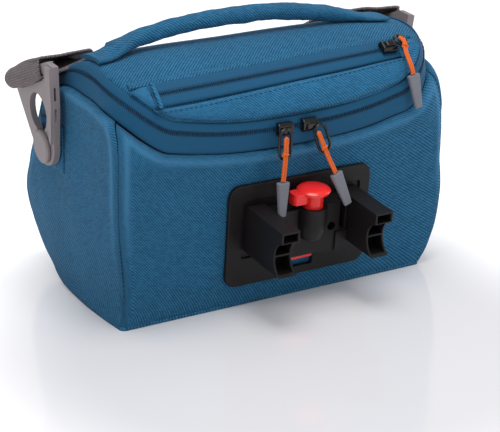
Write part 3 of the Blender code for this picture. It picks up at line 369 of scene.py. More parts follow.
def lid_rim(place):
    """A point of the lid's upper zip seam, and the width of the zip band under it."""
    wide = LID_HALF_WIDTH
    x, y = outline(wide, wide, LID_FRONT, LID_BACK, LID_CORNER, LID_BACK_CORNER, 0, FRONT_BOW, place)
    share = min(max((y + 0.02) / 0.05, 0.0), 1.0)
    return Vector((x, y, lid_height(x, y))), ZIP_BAND + (ZIP_BAND_AT_HINGE - ZIP_BAND) * share


LOWEST_SEAM = min(lid_rim(k)[0].z - lid_rim(k)[1] for k in range(AROUND))


def wall_point(place, height):
    """A point of the wall: a place round the bag and a share of the wall's height."""
    rim, band = lid_rim(place)
    shares = [blend_between(WALL_SECTIONS, height, k) for k in range(1, 6)]
    left, right, back, front_corner, back_corner = shares
    front_height = height * LOWEST_SEAM
    front = FACE_REACH + math.tan(FACE_LEAN) * front_height + TOP_BULGE * height**18
    x, y = outline(
        left * HALF_WIDTH,
        right * HALF_WIDTH,
        front,
        back * BACK_REACH,
        front_corner * FRONT_CORNER,
        back_corner * BACK_CORNER,
        SIDE_BOW * math.sin(math.pi * min(height + 0.2, 1.0)),
        FRONT_BOW * height**6,
        place,
    )
    z = height * (rim.z - band)
    towards_face = min(max(-y / FACE_REACH, 0.0), 1.0)
    lean = math.tan(FACE_LEAN) * (z - front_height) * towards_face * (1 - height**12)
    return Vector((x, y - lean, z))


def rolled_wall_point(place, height):
    """A point of the wall with the rounded fold that its cloth makes under the zip's seam."""
    point = wall_point(place, height)
    below = (1 - height) * point.z / height
    risen = 1 - (1 - min(below / ROLL_REACH, 1.0)) ** 2
    rolled = ROLL_DEPTH * risen * math.exp(-max(below - ROLL_REACH, 0.0) / ROLL_FADE)
    outward = Vector((point.x / HALF_WIDTH**2, point.y / LID_FRONT**2, 0))
    return point + outward.normalized() * rolled


def band_point(place, share):
    """A point of the zip band between the wall and the lid, slightly crowned."""
    low, high = wall_point(place, 1.0), lid_rim(place)[0]
    point = low.lerp(high, share)
    outward = Vector((point.x / HALF_WIDTH, point.y / LID_FRONT, 0)).normalized()
    crown = 0.0012 * (share / COIL_PLACE if share < COIL_PLACE else (1 - share) / (1 - COIL_PLACE))
    return point + outward * crown


def smooth_line(points, steps):
    """A smooth curve through three or more points."""
    points = [Vector(p) for p in points]
    padded = [2 * points[0] - points[1], *points, 2 * points[-1] - points[-2]]
    line = []
    for a, b, c, d in zip(padded, padded[1:], padded[2:], padded[3:]):
        for k in range(steps):
            t = k / steps
            bend = (2 * a - 5 * b + 4 * c - d) * t**2
            twist = (3 * b - a - 3 * c + d) * t**3
            line.append(0.5 * (2 * b + (c - a) * t + bend + twist))
    return line + [points[-1]]


def lengths_along(points):
    """How far along a line each of its points lies."""
    total, found = 0.0, [0.0]
    for a, b in zip(points, points[1:]):
        total += (b - a).length
        found.append(total)
    return found


def lid_lengths():
    """A function that gives the length over the lid's middle, from its front edge to a depth y."""
    first = -38
    middle = [Vector((0, k * LID_SAMPLE, lid_height(0, k * LID_SAMPLE))) for k in range(first, 28)]
    lengths = lengths_along(middle)

    def from_front(y):
        k = min(max(y / LID_SAMPLE - first, 0), len(lengths) - 1.001)
        return lengths[int(k)] + (lengths[int(k) + 1] - lengths[int(k)]) * (k - int(k))

    return from_front


def lid_front(x):
    """The lid's front edge, seen from above."""
    straight = LID_HALF_WIDTH - LID_CORNER
    if abs(x) <= straight:
        return -LID_FRONT + FRONT_BOW * (x / straight) ** 2
    return -LID_FRONT + FRONT_BOW + LID_CORNER - math.sqrt(LID_CORNER**2 - (abs(x) - straight) ** 2)


def pocket_fold(x):
    """Front edge of the pocket's zip tape."""
    return -LID_FRONT + POCKET_FOLD + POCKET_SLANT * x


def pocket_top(x):
    """Back edge of the pocket's zip tape."""
    return -LID_FRONT + POCKET_TOP + POCKET_SLANT * x


def pocket_back(x):
    """Back edge of the pocket's cloth, which rounds off past the ends of the zip."""
    past = (abs(x) - POCKET_TAPE_REACH) / (POCKET_REACH - POCKET_TAPE_REACH)
    if past <= 0:
        return pocket_fold(x) - POCKET_TAPE_SEAM
    return lid_front(x) + (pocket_top(x) - lid_front(x)) * math.sqrt(max(1 - 0.8 * past**3, 0.0))


def over_lid(x, share, low, high, lift):
    """A point over the lid, a share of the way from one edge along x to another."""
    y = low(x) + (high(x) - low(x)) * share
    return lid_point(x, y, lift)


# Helpers for meshes


def sheet(columns, rows, point, uv, closed=False):
    """A grid whose points follow a surface: both functions take shares from 0 to 1 along and across."""
    shape = bmesh.new()
    bmesh.ops.create_grid(shape, x_segments=columns, y_segments=rows, size=1.0)
    layer = shape.loops.layers.uv.new("UVMap")
    shares = {v: (0.5 * (v.co.x + 1), 0.5 * (v.co.y + 1)) for v in shape.verts}
    for face in shape.faces:
        for loop in face.loops:
            loop[layer].uv = uv(*shares[loop.vert])
    for vert, (a, b) in shares.items():
        vert.co = point(a, b)
    if closed:
        bmesh.ops.remove_doubles(shape, verts=shape.verts, dist=0.00002)
    shape.normal_update()
    return shape


def measured(columns, rows, point):
    """The points of a grid worked out once, and their lengths along and across from the grid's middle."""
    grid = [[point(i / columns, j / rows) for j in range(rows + 1)] for i in range(columns + 1)]
    across = [lengths_along(column) for column in grid]
    along = [lengths_along([column[j] for column in grid]) for j in range(rows + 1)]

    def numbers(a, b):
        return int(round(a * columns)), int(round(b * rows))

    def place(a, b):
        i, j = numbers(a, b)
        return grid[i][j]

    def flat(a, b):
        i, j = numbers(a, b)
        return along[j][i] - along[j][columns // 2], across[i][j] - across[i][rows]

    return place, flat


def press_edges(shape, seam_distance, depth, reach):
    """Draws the cloth in towards its sewn edges, by each point's distance to the nearest one."""
    shape.normal_update()
    moves = {v: -v.normal * depth * math.exp(-((seam_distance(v.co) / reach) ** 2)) for v in shape.verts}
    for vert, move in moves.items():
        vert.co += move


def crumple(shape, size, height, seed=0.0, stretch=(1, 1, 1)):
    """Soft waves of the cloth along its own normals."""
    shape.normal_update()
    for vert in shape.verts:
        at = Vector(c * s for c, s in zip(vert.co, stretch)) / size + Vector((seed, seed, seed))
        vert.co += vert.normal * height * noise.noise(at)


def boundary_distance(shape):
    """A function that gives a point's distance from the open edges of a mesh."""
    rim = [v.co.copy() for v in shape.verts if v.is_boundary]
    tree = KDTree(len(rim))
    for i, co in enumerate(rim):
        tree.insert(co, i)
    tree.balance()
    return lambda co: tree.find(co)[2]


def mark_painted_highlight(shape, seam_distance):
    """A mask for a painted highlight on the rounded fold that follows the seams, where the fibres catch the
    light.
    """
    layer = shape.verts.layers.float.new("crest")
    for vert in shape.verts:
        high = min(max((vert.co.z - PAINTED_HIGHLIGHT_FROM) / PAINTED_HIGHLIGHT_FADE, 0.0), 1.0)
        vert[layer] = high * math.exp(-(((seam_distance(vert.co) - PAINTED_HIGHLIGHT_PLACE) / PAINTED_HIGHLIGHT_WIDTH) ** 2))


def piece(name, shape, material, nodes=(), body="bag", thickness=0.0, offset=-1.0, sharp=40):
    """A finished bmesh made a piece of the bag that rides on a body."""
    mesh = bpy.data.meshes.new(name)
    shape.to_mesh(mesh)
    shape.free()
    mesh.shade_smooth()
    mesh.set_sharp_from_angle(angle=math.radians(sharp))
    mesh.materials.append(material)
    obj = bpy.data.objects.new(name, mesh)
    bpy.context.scene.collection.objects.link(obj)
    if thickness:
        wall = obj.modifiers.new("wall", "SOLIDIFY")
        wall.thickness = thickness
        wall.offset = offset
    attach(obj, body)
    if nodes:
        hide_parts(*nodes)
    return obj


def moulded(name, node, material, body="bag", edge=0.0007, segments=2, swell=0.0):
    """A solid's own shape with its edges rounded, a little fuller where swell says so."""
    shape = bmesh.new()
    shape.from_mesh(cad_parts[node].data)
    bmesh.ops.remove_doubles(shape, verts=shape.verts, dist=0.00001)
    bmesh.ops.dissolve_limit(
        shape,
        angle_limit=math.radians(1),
        use_dissolve_boundaries=False,
        verts=shape.verts,
        edges=shape.edges,
    )
    edges = [e for e in shape.edges if len(e.link_faces) == 2 and e.calc_face_angle(0) > math.radians(32)]
    bmesh.ops.bevel(
        shape,
        geom=edges,
        offset=edge,
        segments=segments,
        profile=0.5,
        affect="EDGES",
        material=-1,
        clamp_overlap=True,
        loop_slide=True,
    )
    shape.normal_update()
    for vert in shape.verts:
        vert.co += vert.normal * swell
    obj = piece(name, shape, material, (node,), body)
    weighted = obj.modifiers.new("even shading", "WEIGHTED_NORMAL")
    weighted.keep_sharp = True
    return obj


def add_stitches(shape, points, normals, pitch, length, width, lift):
    """Small thread stitches along a line, laid into one mesh."""
    distance = lengths_along(points)
    count = int(distance[-1] / pitch)
    k = 0
    for i in range(count):
        target = (i + 0.5) * pitch
        while distance[k + 1] < target:
            k += 1
        t = (target - distance[k]) / max(distance[k + 1] - distance[k], 1e-9)
        here = points[k].lerp(points[k + 1], t)
        along = (points[k + 1] - points[k]).normalized()
        up = normals[k].normalized()
        side = up.cross(along).normalized()
        turn = Matrix((along, side, up)).transposed().to_4x4()
        turn.translation = here + up * lift
        made = bmesh.ops.create_icosphere(shape, subdivisions=1, radius=0.5)
        bmesh.ops.scale(shape, vec=(length, width, width), verts=made["verts"])
        bmesh.ops.transform(shape, matrix=turn, verts=made["verts"])


def add_tube(shape, points, radius, sides=8):
    """A round strand along a line, closed at both ends."""
    rings = []
    reference = None
    for i, point in enumerate(points):
        along = (points[min(i + 1, len(points) - 1)] - points[max(i - 1, 0)]).normalized()
        if reference is None:
            reference = along.orthogonal().normalized()
        reference = (reference - along * reference.dot(along)).normalized()
        across = along.cross(reference)
        turn = Matrix((reference, across, along)).transposed().to_4x4()
        turn.translation = point
        ends = i in (0, len(points) - 1)
        made = bmesh.ops.create_circle(shape, cap_ends=ends, segments=sides, radius=radius, matrix=turn)
        rings.append(made["verts"])
    for a, b in zip(rings, rings[1:]):
        edges = [e for ring in (a, b) for v in ring for e in v.link_edges if e.other_vert(v) in ring]
        bmesh.ops.bridge_loops(shape, edges=list(dict.fromkeys(edges)))
    bmesh.ops.recalc_face_normals(shape, faces=shape.faces)


# Materials


def add_math(tree, operation, first, second=None):
    """A Math node's output. Each value may be a number or a socket."""
    node = tree.nodes.new("ShaderNodeMath")
    node.operation = operation
    for socket, value in zip(node.inputs, (first, second)):
        if value is None:
            continue
        if isinstance(value, bpy.types.NodeSocket):
            tree.links.new(value, socket)
        else:
            socket.default_value = value
    return node.outputs[0]


def effect(name, inputs, outputs):
    """An empty node group with its named inputs and outputs."""
    tree = bpy.data.node_groups.new(name, "ShaderNodeTree")
    for label, kind, default in inputs:
        socket = tree.interface.new_socket(name=label, in_out="INPUT", socket_type=kind)
        if default is not None:
            socket.default_value = default
    for label, kind in outputs:
        tree.interface.new_socket(name=label, in_out="OUTPUT", socket_type=kind)
    return tree, tree.nodes.new("NodeGroupInput"), tree.nodes.new("NodeGroupOutput")


def weave_effect():
    """Threads of a plain or twilled cloth over a UV map in metres: height, and a tone for each float."""
    found = bpy.data.node_groups.get("weave")
    if found:
        return found
    tree, source, target = effect(
        "weave",
        (
            ("Vector", "NodeSocketVector", None),
            ("Float Length", "NodeSocketFloat", 0.0020),
            ("Thread Width", "NodeSocketFloat", 0.0011),
            ("Shift", "NodeSocketFloat", 0.35),
            ("Row Depth", "NodeSocketFloat", 0.25),
        ),
        (("Height", "NodeSocketFloat"), ("Tone", "NodeSocketFloat")),
    )
    split = tree.nodes.new("ShaderNodeSeparateXYZ")
    tree.links.new(source.outputs["Vector"], split.inputs[0])
    across = add_math(tree, "DIVIDE", split.outputs[1], source.outputs["Thread Width"])
    row = add_math(tree, "FLOOR", across)
    along = add_math(tree, "DIVIDE", split.outputs[0], source.outputs["Float Length"])
    shifted = add_math(tree, "ADD", along, add_math(tree, "MULTIPLY", across, source.outputs["Shift"]))
    column = add_math(tree, "FLOOR", shifted)
    humps = []
    for value, steepness, share in (
        (add_math(tree, "FRACT", shifted), 2.2, 1.0),
        (add_math(tree, "FRACT", across), 3.0, source.outputs["Row Depth"]),
    ):
        centred = add_math(tree, "SUBTRACT", add_math(tree, "MULTIPLY", value, 2.0), 1.0)
        fall = add_math(tree, "POWER", add_math(tree, "ABSOLUTE", centred), steepness)
        humps.append(add_math(tree, "SUBTRACT", 1.0, add_math(tree, "MULTIPLY", fall, share)))
    tree.links.new(add_math(tree, "MULTIPLY", *humps), target.inputs["Height"])
    cell = tree.nodes.new("ShaderNodeCombineXYZ")
    tree.links.new(column, cell.inputs[0])
    tree.links.new(row, cell.inputs[1])
    chance = tree.nodes.new("ShaderNodeTexWhiteNoise")
    tree.links.new(cell.outputs[0], chance.inputs["Vector"])
    tree.links.new(chance.outputs["Value"], target.inputs["Tone"])
    return tree


def grain_effect():
    """Fine grain and slow unevenness of a surface over Object coordinates."""
    found = bpy.data.node_groups.get("grain")
    if found:
        return found
    tree, source, target = effect(
        "grain",
        (
            ("Vector", "NodeSocketVector", None),
            ("Fine Scale", "NodeSocketFloat", 1600.0),
            ("Slow Scale", "NodeSocketFloat", 30.0),
        ),
        (("Height", "NodeSocketFloat"), ("Unevenness", "NodeSocketFloat")),
    )
    for scale, label in (("Fine Scale", "Height"), ("Slow Scale", "Unevenness")):
        cloud = tree.nodes.new("ShaderNodeTexNoise")
        cloud.inputs["Detail"].default_value = 3.0
        tree.links.new(source.outputs["Vector"], cloud.inputs["Vector"])
        tree.links.new(source.outputs[scale], cloud.inputs["Scale"])
        tree.links.new(cloud.outputs["Fac"], target.inputs[label])
    return tree


def start_material(name, roughness, sheen=0.0, coat=0.0, metallic=0.0, specular=0.5):
    """A new material, its tree, its Principled shader and a place for coordinates."""
    material = bpy.data.materials.new(name)
    material.use_nodes = True
    tree = material.node_tree
    shader = tree.nodes["Principled BSDF"]
    shader.inputs["Roughness"].default_value = roughness
    shader.inputs["Metallic"].default_value = metallic
    shader.inputs["Sheen Weight"].default_value = sheen
    shader.inputs["Sheen Roughness"].default_value = 0.4
    shader.inputs["Coat Weight"].default_value = coat
    shader.inputs["Specular IOR Level"].default_value = specular
    return material, tree, shader, tree.nodes.new("ShaderNodeTexCoord")


def placed_effect(tree, group, coordinates, **values):
    """A node group placed in a material, with its own values."""
    node = tree.nodes.new("ShaderNodeGroup")
    node.node_tree = group
    tree.links.new(coordinates, node.inputs["Vector"])
    for label, value in values.items():
        node.inputs[label.replace("_", " ")].default_value = value
    return node


def mixed(tree, factor, first, second, blend="MIX"):
    """Two colours mixed by a factor. Either may be a socket."""
    node = tree.nodes.new("ShaderNodeMix")
    node.data_type = "RGBA"
    node.blend_type = blend
    sockets = (node.inputs["Factor"], node.inputs[6], node.inputs[7])
    for socket, value in zip(sockets, (factor, first, second)):
        if isinstance(value, bpy.types.NodeSocket):
            tree.links.new(value, socket)
        elif isinstance(value, float):
            socket.default_value = value
        else:
            socket.default_value = (*value, 1.0)
    return node.outputs[2]


def bump(tree, shader, height, strength, distance):
    node = tree.nodes.new("ShaderNodeBump")
    node.inputs["Strength"].default_value = strength
    node.inputs["Distance"].default_value = distance
    tree.links.new(height, node.inputs["Height"])
    tree.links.new(node.outputs["Normal"], shader.inputs["Normal"])


def woven(name, light, dark, length, width, shift, rows=0.25, strength=0.8, roughness=0.85, sheen=0.05):
    """Cloth of light and dark threads, with painted highlight and painted shade from the weave's relief, and
    a painted highlight along the folds that a mesh marks.
    """
    found = bpy.data.materials.get(name)
    if found:
        return found
    material, tree, shader, coordinates = start_material(name, roughness, sheen, specular=0.2)
    weave = placed_effect(
        tree,
        weave_effect(),
        coordinates.outputs["UV"],
        Float_Length=length,
        Thread_Width=width,
        Shift=shift,
        Row_Depth=rows,
    )
    over_piece = coordinates.outputs["Object"]
    slow = placed_effect(tree, grain_effect(), over_piece, Slow_Scale=22.0, Fine_Scale=420.0)
    tone = add_math(tree, "SUBTRACT", add_math(tree, "MULTIPLY", weave.outputs["Tone"], 0.30), 0.15)
    # The thread colours mix by each float's random tone and also by its height: the raised floats get a
    # painted highlight and the hollows between them painted shade
    lit = add_math(tree, "ADD", tone, weave.outputs["Height"])
    threads = mixed(tree, lit, dark, light)
    uneven = add_math(tree, "ADD", add_math(tree, "MULTIPLY", slow.outputs["Unevenness"], 0.30), 0.85)
    shade = tree.nodes.new("ShaderNodeCombineColor")
    for socket in shade.inputs:
        tree.links.new(uneven, socket)
    # Painted highlight along the fold under the seams: a lighter copy of the light thread's colour, mixed in
    # by the mask that the wall panels carry
    crest = tree.nodes.new("ShaderNodeAttribute")
    crest.attribute_name = "crest"
    worn = mixed(tree, 1.0, threads, shade.outputs[0], "MULTIPLY")
    painted_fold_highlight = tuple(min(1.0, 1.35 * c + 0.035) for c in light)
    fold = mixed(tree, add_math(tree, "MULTIPLY", crest.outputs["Fac"], 0.5), worn, painted_fold_highlight)
    tree.links.new(fold, shader.inputs["Base Color"])
    fuzz = add_math(tree, "MULTIPLY", slow.outputs["Height"], 0.25)
    bump(tree, shader, add_math(tree, "ADD", weave.outputs["Height"], fuzz), strength, 0.00045)
    return material


def taped(name, colour, teeth, rib_pitch=0.0015, fringe_width=0.0019):
    """Zip tape: fine ribs, and a ribbed fringe along the coil, which lies at V zero."""
    found = bpy.data.materials.get(name)
    if found:
        return found
    material, tree, shader, coordinates = start_material(name, 0.7, 0.03, specular=0.2)
    split = tree.nodes.new("ShaderNodeSeparateXYZ")
    tree.links.new(coordinates.outputs["UV"], split.inputs[0])
    ribs = add_math(tree, "SINE", add_math(tree, "MULTIPLY", split.outputs[0], 2 * math.pi / rib_pitch))
    from_coil = add_math(tree, "ABSOLUTE", split.outputs[1])
    fringe = add_math(tree, "LESS_THAN", from_coil, fringe_width)
    weave = placed_effect(
        tree, weave_effect(), coordinates.outputs["UV"], Float_Length=0.0012, Thread_Width=0.0006, Shift=0.5
    )
    ribbed = add_math(tree, "MULTIPLY", fringe, add_math(tree, "MAXIMUM", ribs, 0.0))
    # The tape's colour is darker where its weave dips: painted shade in the weave's hollows
    plain = mixed(tree, weave.outputs["Height"], tuple(0.6 * c for c in colour), colour)
    sewn = mixed(tree, add_math(tree, "MAXIMUM", ribs, 0.0), teeth, tuple(1.35 * c for c in colour))
    tree.links.new(mixed(tree, fringe, plain, sewn), shader.inputs["Base Color"])
    height = add_math(tree, "ADD", weave.outputs["Height"], add_math(tree, "MULTIPLY", ribbed, 2.0))
    bump(tree, shader, height, 0.6, 0.00025)
    return material


def grained(name, colour, roughness, fine, strength, coat=0.0, metallic=0.0, spread=0.15, specular=0.22):
    """Moulded plastic or painted metal with its grain, and patches that are a little more worn."""
    found = bpy.data.materials.get(name)
    if found:
        return found
    material, tree, shader, coordinates = start_material(name, roughness, 0.0, coat, metallic, specular)
    shader.inputs["Coat Roughness"].default_value = 0.08
    over_piece = coordinates.outputs["Object"]
    grain = placed_effect(tree, grain_effect(), over_piece, Fine_Scale=fine, Slow_Scale=45.0)
    worn = tuple(min(1.0, c * 1.35 + 0.004) for c in colour)
    tree.links.new(mixed(tree, grain.outputs["Unevenness"], colour, worn), shader.inputs["Base Color"])
    change = add_math(tree, "MULTIPLY", add_math(tree, "SUBTRACT", grain.outputs["Unevenness"], 0.5), spread)
    tree.links.new(add_math(tree, "ADD", change, roughness), shader.inputs["Roughness"])
    bump(tree, shader, grain.outputs["Height"], strength, 0.00012)
    return material


def colour_of(name):
    return tuple(getattr(bpy.context.scene.bag_colours, name))


def shaded(name, factor):
    return tuple(min(1.0, c * factor) for c in colour_of(name))


def body_cloth():
    light, dark = colour_of("cloth_light"), colour_of("cloth_dark")
    return woven("coarse twill", light, dark, 0.0025, 0.00125, 0.5, rows=0.5)


def pocket_cloth():
    light, dark = shaded("cloth_light", 1.15), shaded("cloth_dark", 1.6)
    return woven("fine basket weave", light, dark, 0.0024, 0.0012, 0.5, rows=0.7, strength=0.7)


def tape_cloth():
    return taped("zip tape", colour_of("tape"), colour_of("teeth"))


def teeth_plastic():
    return grained("zip coil", colour_of("teeth"), 0.38, 900.0, 0.2)


def thread():
    return grained("sewing thread", shaded("cloth_dark", 0.9), 0.7, 1500.0, 0.3)


def black_plastic():
    return grained("black moulded plastic", colour_of("plastic"), 0.46, 1500.0, 0.55)


def red_plastic():
    return grained("red moulded plastic", colour_of("button"), 0.25, 500.0, 0.06, coat=0.2, specular=0.4)


def grey_plastic():
    return grained("grey moulded plastic", colour_of("fitting"), 0.5, 1300.0, 0.4)


def grip_rubber():
    return grained("grey moulded rubber", colour_of("grip"), 0.55, 1000.0, 0.8)


def webbing_cloth():
    light, dark = shaded("webbing", 1.25), shaded("webbing", 0.45)
    return woven("ribbed webbing", light, dark, 0.0012, 0.0016, 0.5, rows=1.0, strength=1.0, roughness=0.8)


def slider_metal():
    return grained("gloss black metal", colour_of("metal"), 0.12, 300.0, 0.05, coat=0.15, specular=0.3)


def cord_yarn():
    light, dark = colour_of("cord"), shaded("cord", 0.7)
    return woven("braided cord", light, dark, 0.0016, 0.0008, 0.5, 0.6, 0.9, roughness=0.7, sheen=0.1)


# Pieces


class BAG_OT_body(bpy.types.Operator):
    """Cloth panels of the body, sewn along upright seams"""

    bl_idname = "bag.body"
    bl_label = "Body panels"

    def execute(self, context):
        wall = context.scene.bag_sizes.cloth_wall
        cloth = body_cloth()
        for name, first, last, columns, mirror, node, seed in (
            ("front_panel", SEAM_LEFT, SEAM_RIGHT, 150, 1, "wrap_panel", 0.0),
            ("back_panel", HINGE_RIGHT, HINGE_LEFT, 110, 1, "", 2.0),
            ("left_side", HINGE_LEFT - AROUND, SEAM_LEFT, 90, -1, "side_panel_left", 4.0),
            ("right_side", SEAM_RIGHT, HINGE_RIGHT, 90, -1, "side_panel_right", 6.0),
        ):
            start = first + PANEL_TRIM
            reach = last - first - 2 * PANEL_TRIM

            def at(a, b):
                return rolled_wall_point(start + reach * a, WALL_FOOT + (1 - WALL_FOOT) * b)

            place, flat = measured(columns, PANEL_ROWS, at)
            shape = sheet(columns, PANEL_ROWS, place, lambda a, b: (mirror * flat(a, b)[0], flat(a, b)[1]))
            crumple(shape, 0.035, 0.0011, seed, (1, 1, 0.6))
            crumple(shape, 0.011, 0.00030, seed + 9)
            seams = boundary_distance(shape)
            # Mask of a painted highlight along the fold under the seams, on the upper wall
            mark_painted_highlight(shape, seams)
            press_edges(shape, seams, 0.0009, 0.0022)
            nodes = (node,) if node else ()
            obj = piece(name, shape, cloth, nodes, thickness=wall)
        self.bottom(cloth, wall)
        return {"FINISHED"}

    def bottom(self, cloth, wall):
        rim = [wall_point(AROUND * k / 200, 0.0) for k in range(200)]
        middle = Vector((0, 0.5 * (min(p.y for p in rim) + max(p.y for p in rim)), 0))

        def point(a, b):
            edge = rim[int(round(a * 200)) % 200]
            share = 1.0 - b
            inward = middle.lerp(edge, 0.995 * share)
            return Vector((inward.x, inward.y, 0.0006 * (1 - share**8)))

        shape = sheet(200, 14, point, lambda a, b: tuple(point(a, b).xy), closed=True)
        if sum(f.normal.z for f in shape.faces) > 0:
            bmesh.ops.reverse_faces(shape, faces=shape.faces)
        obj = piece("bottom_panel", shape, cloth, thickness=wall)


class BAG_OT_lid(bpy.types.Operator):
    """Lid with the flat pocket in its front"""

    bl_idname = "bag.lid"
    bl_label = "Lid and pocket"

    def execute(self, context):
        wall = context.scene.bag_sizes.cloth_wall
        from_front = lid_lengths()
        self.cover(wall, from_front)
        self.hinge(wall)
        self.pocket_cover()
        self.pocket_tape()
        self.pocket_top_fold(from_front)
        self.pocket_stitches(context.scene.bag_sizes.stitch_length)
        self.pocket_end_bars()
        return {"FINISHED"}

    def cover(self, wall, from_front):
        centre_y = 0.5 * (LID_BACK - LID_FRONT)

        def at(a, b):
            rim = lid_rim(AROUND * (1 - a))[0]
            share = 1 - 0.999 * b**0.8
            x, y = rim.x * share, centre_y + (rim.y - centre_y) * share
            return Vector((x, y, lid_height(x, y)))

        def uv(a, b):
            point = at(a, b)
            return -point.x, from_front(point.y)

        shape = sheet(260, 46, at, uv, closed=True)
        pole = [v for v in shape.verts if (v.co.xy - Vector((0, centre_y))).length < LID_POLE]
        bmesh.ops.remove_doubles(shape, verts=pole, dist=LID_POLE)
        bmesh.ops.holes_fill(shape, edges=[e for e in shape.edges if e.is_boundary], sides=4)
        bmesh.ops.recalc_face_normals(shape, faces=shape.faces)
        if sum(f.normal.z for f in shape.faces) < 0:
            bmesh.ops.reverse_faces(shape, faces=shape.faces)
        crumple(shape, 0.040, 0.0012, 3.0, (0.6, 1, 1))
        press_edges(shape, boundary_distance(shape), 0.0010, 0.0022)
        obj = piece("lid_cloth", shape, body_cloth(), ("lid_panel",), thickness=wall)

    def hinge(self, wall):
        shape = sheet(
            70,
            8,
            lambda a, b: band_point(HINGE_RIGHT + (HINGE_LEFT - HINGE_RIGHT) * a, 0.02 + 0.96 * b),
            lambda a, b: (HINGE_LENGTH * a, ZIP_BAND_AT_HINGE * b),
        )
        press_edges(shape, boundary_distance(shape), 0.0008, 0.0020)
        obj = piece("hinge_strip", shape, body_cloth(), thickness=wall)

    def pocket_cover(self):
        def at(a, b):
            x = POCKET_REACH * (2 * a - 1)
            lift = POCKET_LIFT + POCKET_CLOTH + POCKET_FULLNESS * math.sin(math.pi * b) ** 0.5
            return over_lid(x, b, lambda x: lid_front(x) + POCKET_SEAM, pocket_back, lift)

        rows = lengths_along([at(0.5, k / 20) for k in range(21)])
        shape = sheet(234, 20, at, lambda a, b: (POCKET_REACH * 2 * a, rows[int(round(20 * b))]))
        crumple(shape, 0.022, 0.0005, 5.0, (0.5, 1, 1))
        press_edges(shape, boundary_distance(shape), 0.0009, 0.0016)
        nodes = ("pocket_panel",)
        obj = piece("pocket_front", shape, pocket_cloth(), nodes, thickness=POCKET_CLOTH)

    def pocket_tape(self):
        lift = POCKET_LIFT + 0.6 * POCKET_TAPE

        def at(a, b):
            x = POCKET_TAPE_REACH * (2 * a - 1)
            return over_lid(x, b, lambda x: pocket_fold(x) + POCKET_TAPE_SEAM, pocket_top, lift)

        wide = 1.15 * (POCKET_TOP - POCKET_FOLD)
        shape = sheet(200, 8, at, lambda a, b: (POCKET_TAPE_REACH * 2 * a, wide * (b - 0.5)))
        nodes = ("pocket_zip_tape",)
        obj = piece("pocket_tape", shape, tape_cloth(), nodes, thickness=POCKET_TAPE_WALL)

    def pocket_top_fold(self, from_front):
        """The lid's cloth turned under along the back edge of the pocket's zip tape."""

        def low(x):
            return pocket_top(x) - 0.0002

        def high(x):
            return pocket_top(x) + TOP_FOLD_WIDTH

        def at(a, b):
            x = (POCKET_REACH - 0.0015) * (2 * a - 1)
            return over_lid(x, b, low, high, 0.0009 + 0.0006 * math.sin(math.pi * b))

        def uv(a, b):
            point = at(a, b)
            return -point.x, from_front(point.y)

        shape = sheet(200, 8, at, uv)
        obj = piece("pocket_top_fold", shape, body_cloth(), thickness=TOP_FOLD_WALL)

    def pocket_stitches(self, stitch):
        """A row of stitches in the pocket's cloth, along its zip."""
        lift = POCKET_LIFT + POCKET_CLOTH + POCKET_FULLNESS
        points, normals = [], []
        for k in range(121):
            x = POCKET_TAPE_REACH * (k / 60 - 1)
            y = pocket_fold(x) - STITCH_INSET
            points.append(lid_point(x, y, lift))
            normals.append(lid_point(x, y, 1.0) - lid_point(x, y, 0.0))
        shape = bmesh.new()
        add_stitches(shape, points, normals, 1.5 * stitch, stitch, STITCH_THICKNESS, 0.0001)
        piece("pocket_stitches", shape, thread())

    def pocket_end_bars(self):
        """Sewn bars over both ends of the pocket's zip."""
        inner = POCKET_TAPE_REACH - END_BAR_INSET
        wide = POCKET_TOP - POCKET_FOLD
        for name, middle in (("left", -inner), ("right", inner)):

            def at(a, b):
                x = middle + END_BAR_WIDTH * (a - 0.5)
                lift = POCKET_LIFT + 0.0012 + 0.0008 * math.sin(math.pi * a)
                return over_lid(x, 1.1 * b - 0.05, pocket_fold, pocket_top, lift)

            shape = sheet(8, 14, at, lambda a, b: (END_BAR_WIDTH * a, wide * b))
            obj = piece(f"pocket_end_{name}", shape, pocket_cloth(), thickness=END_BAR_WALL)


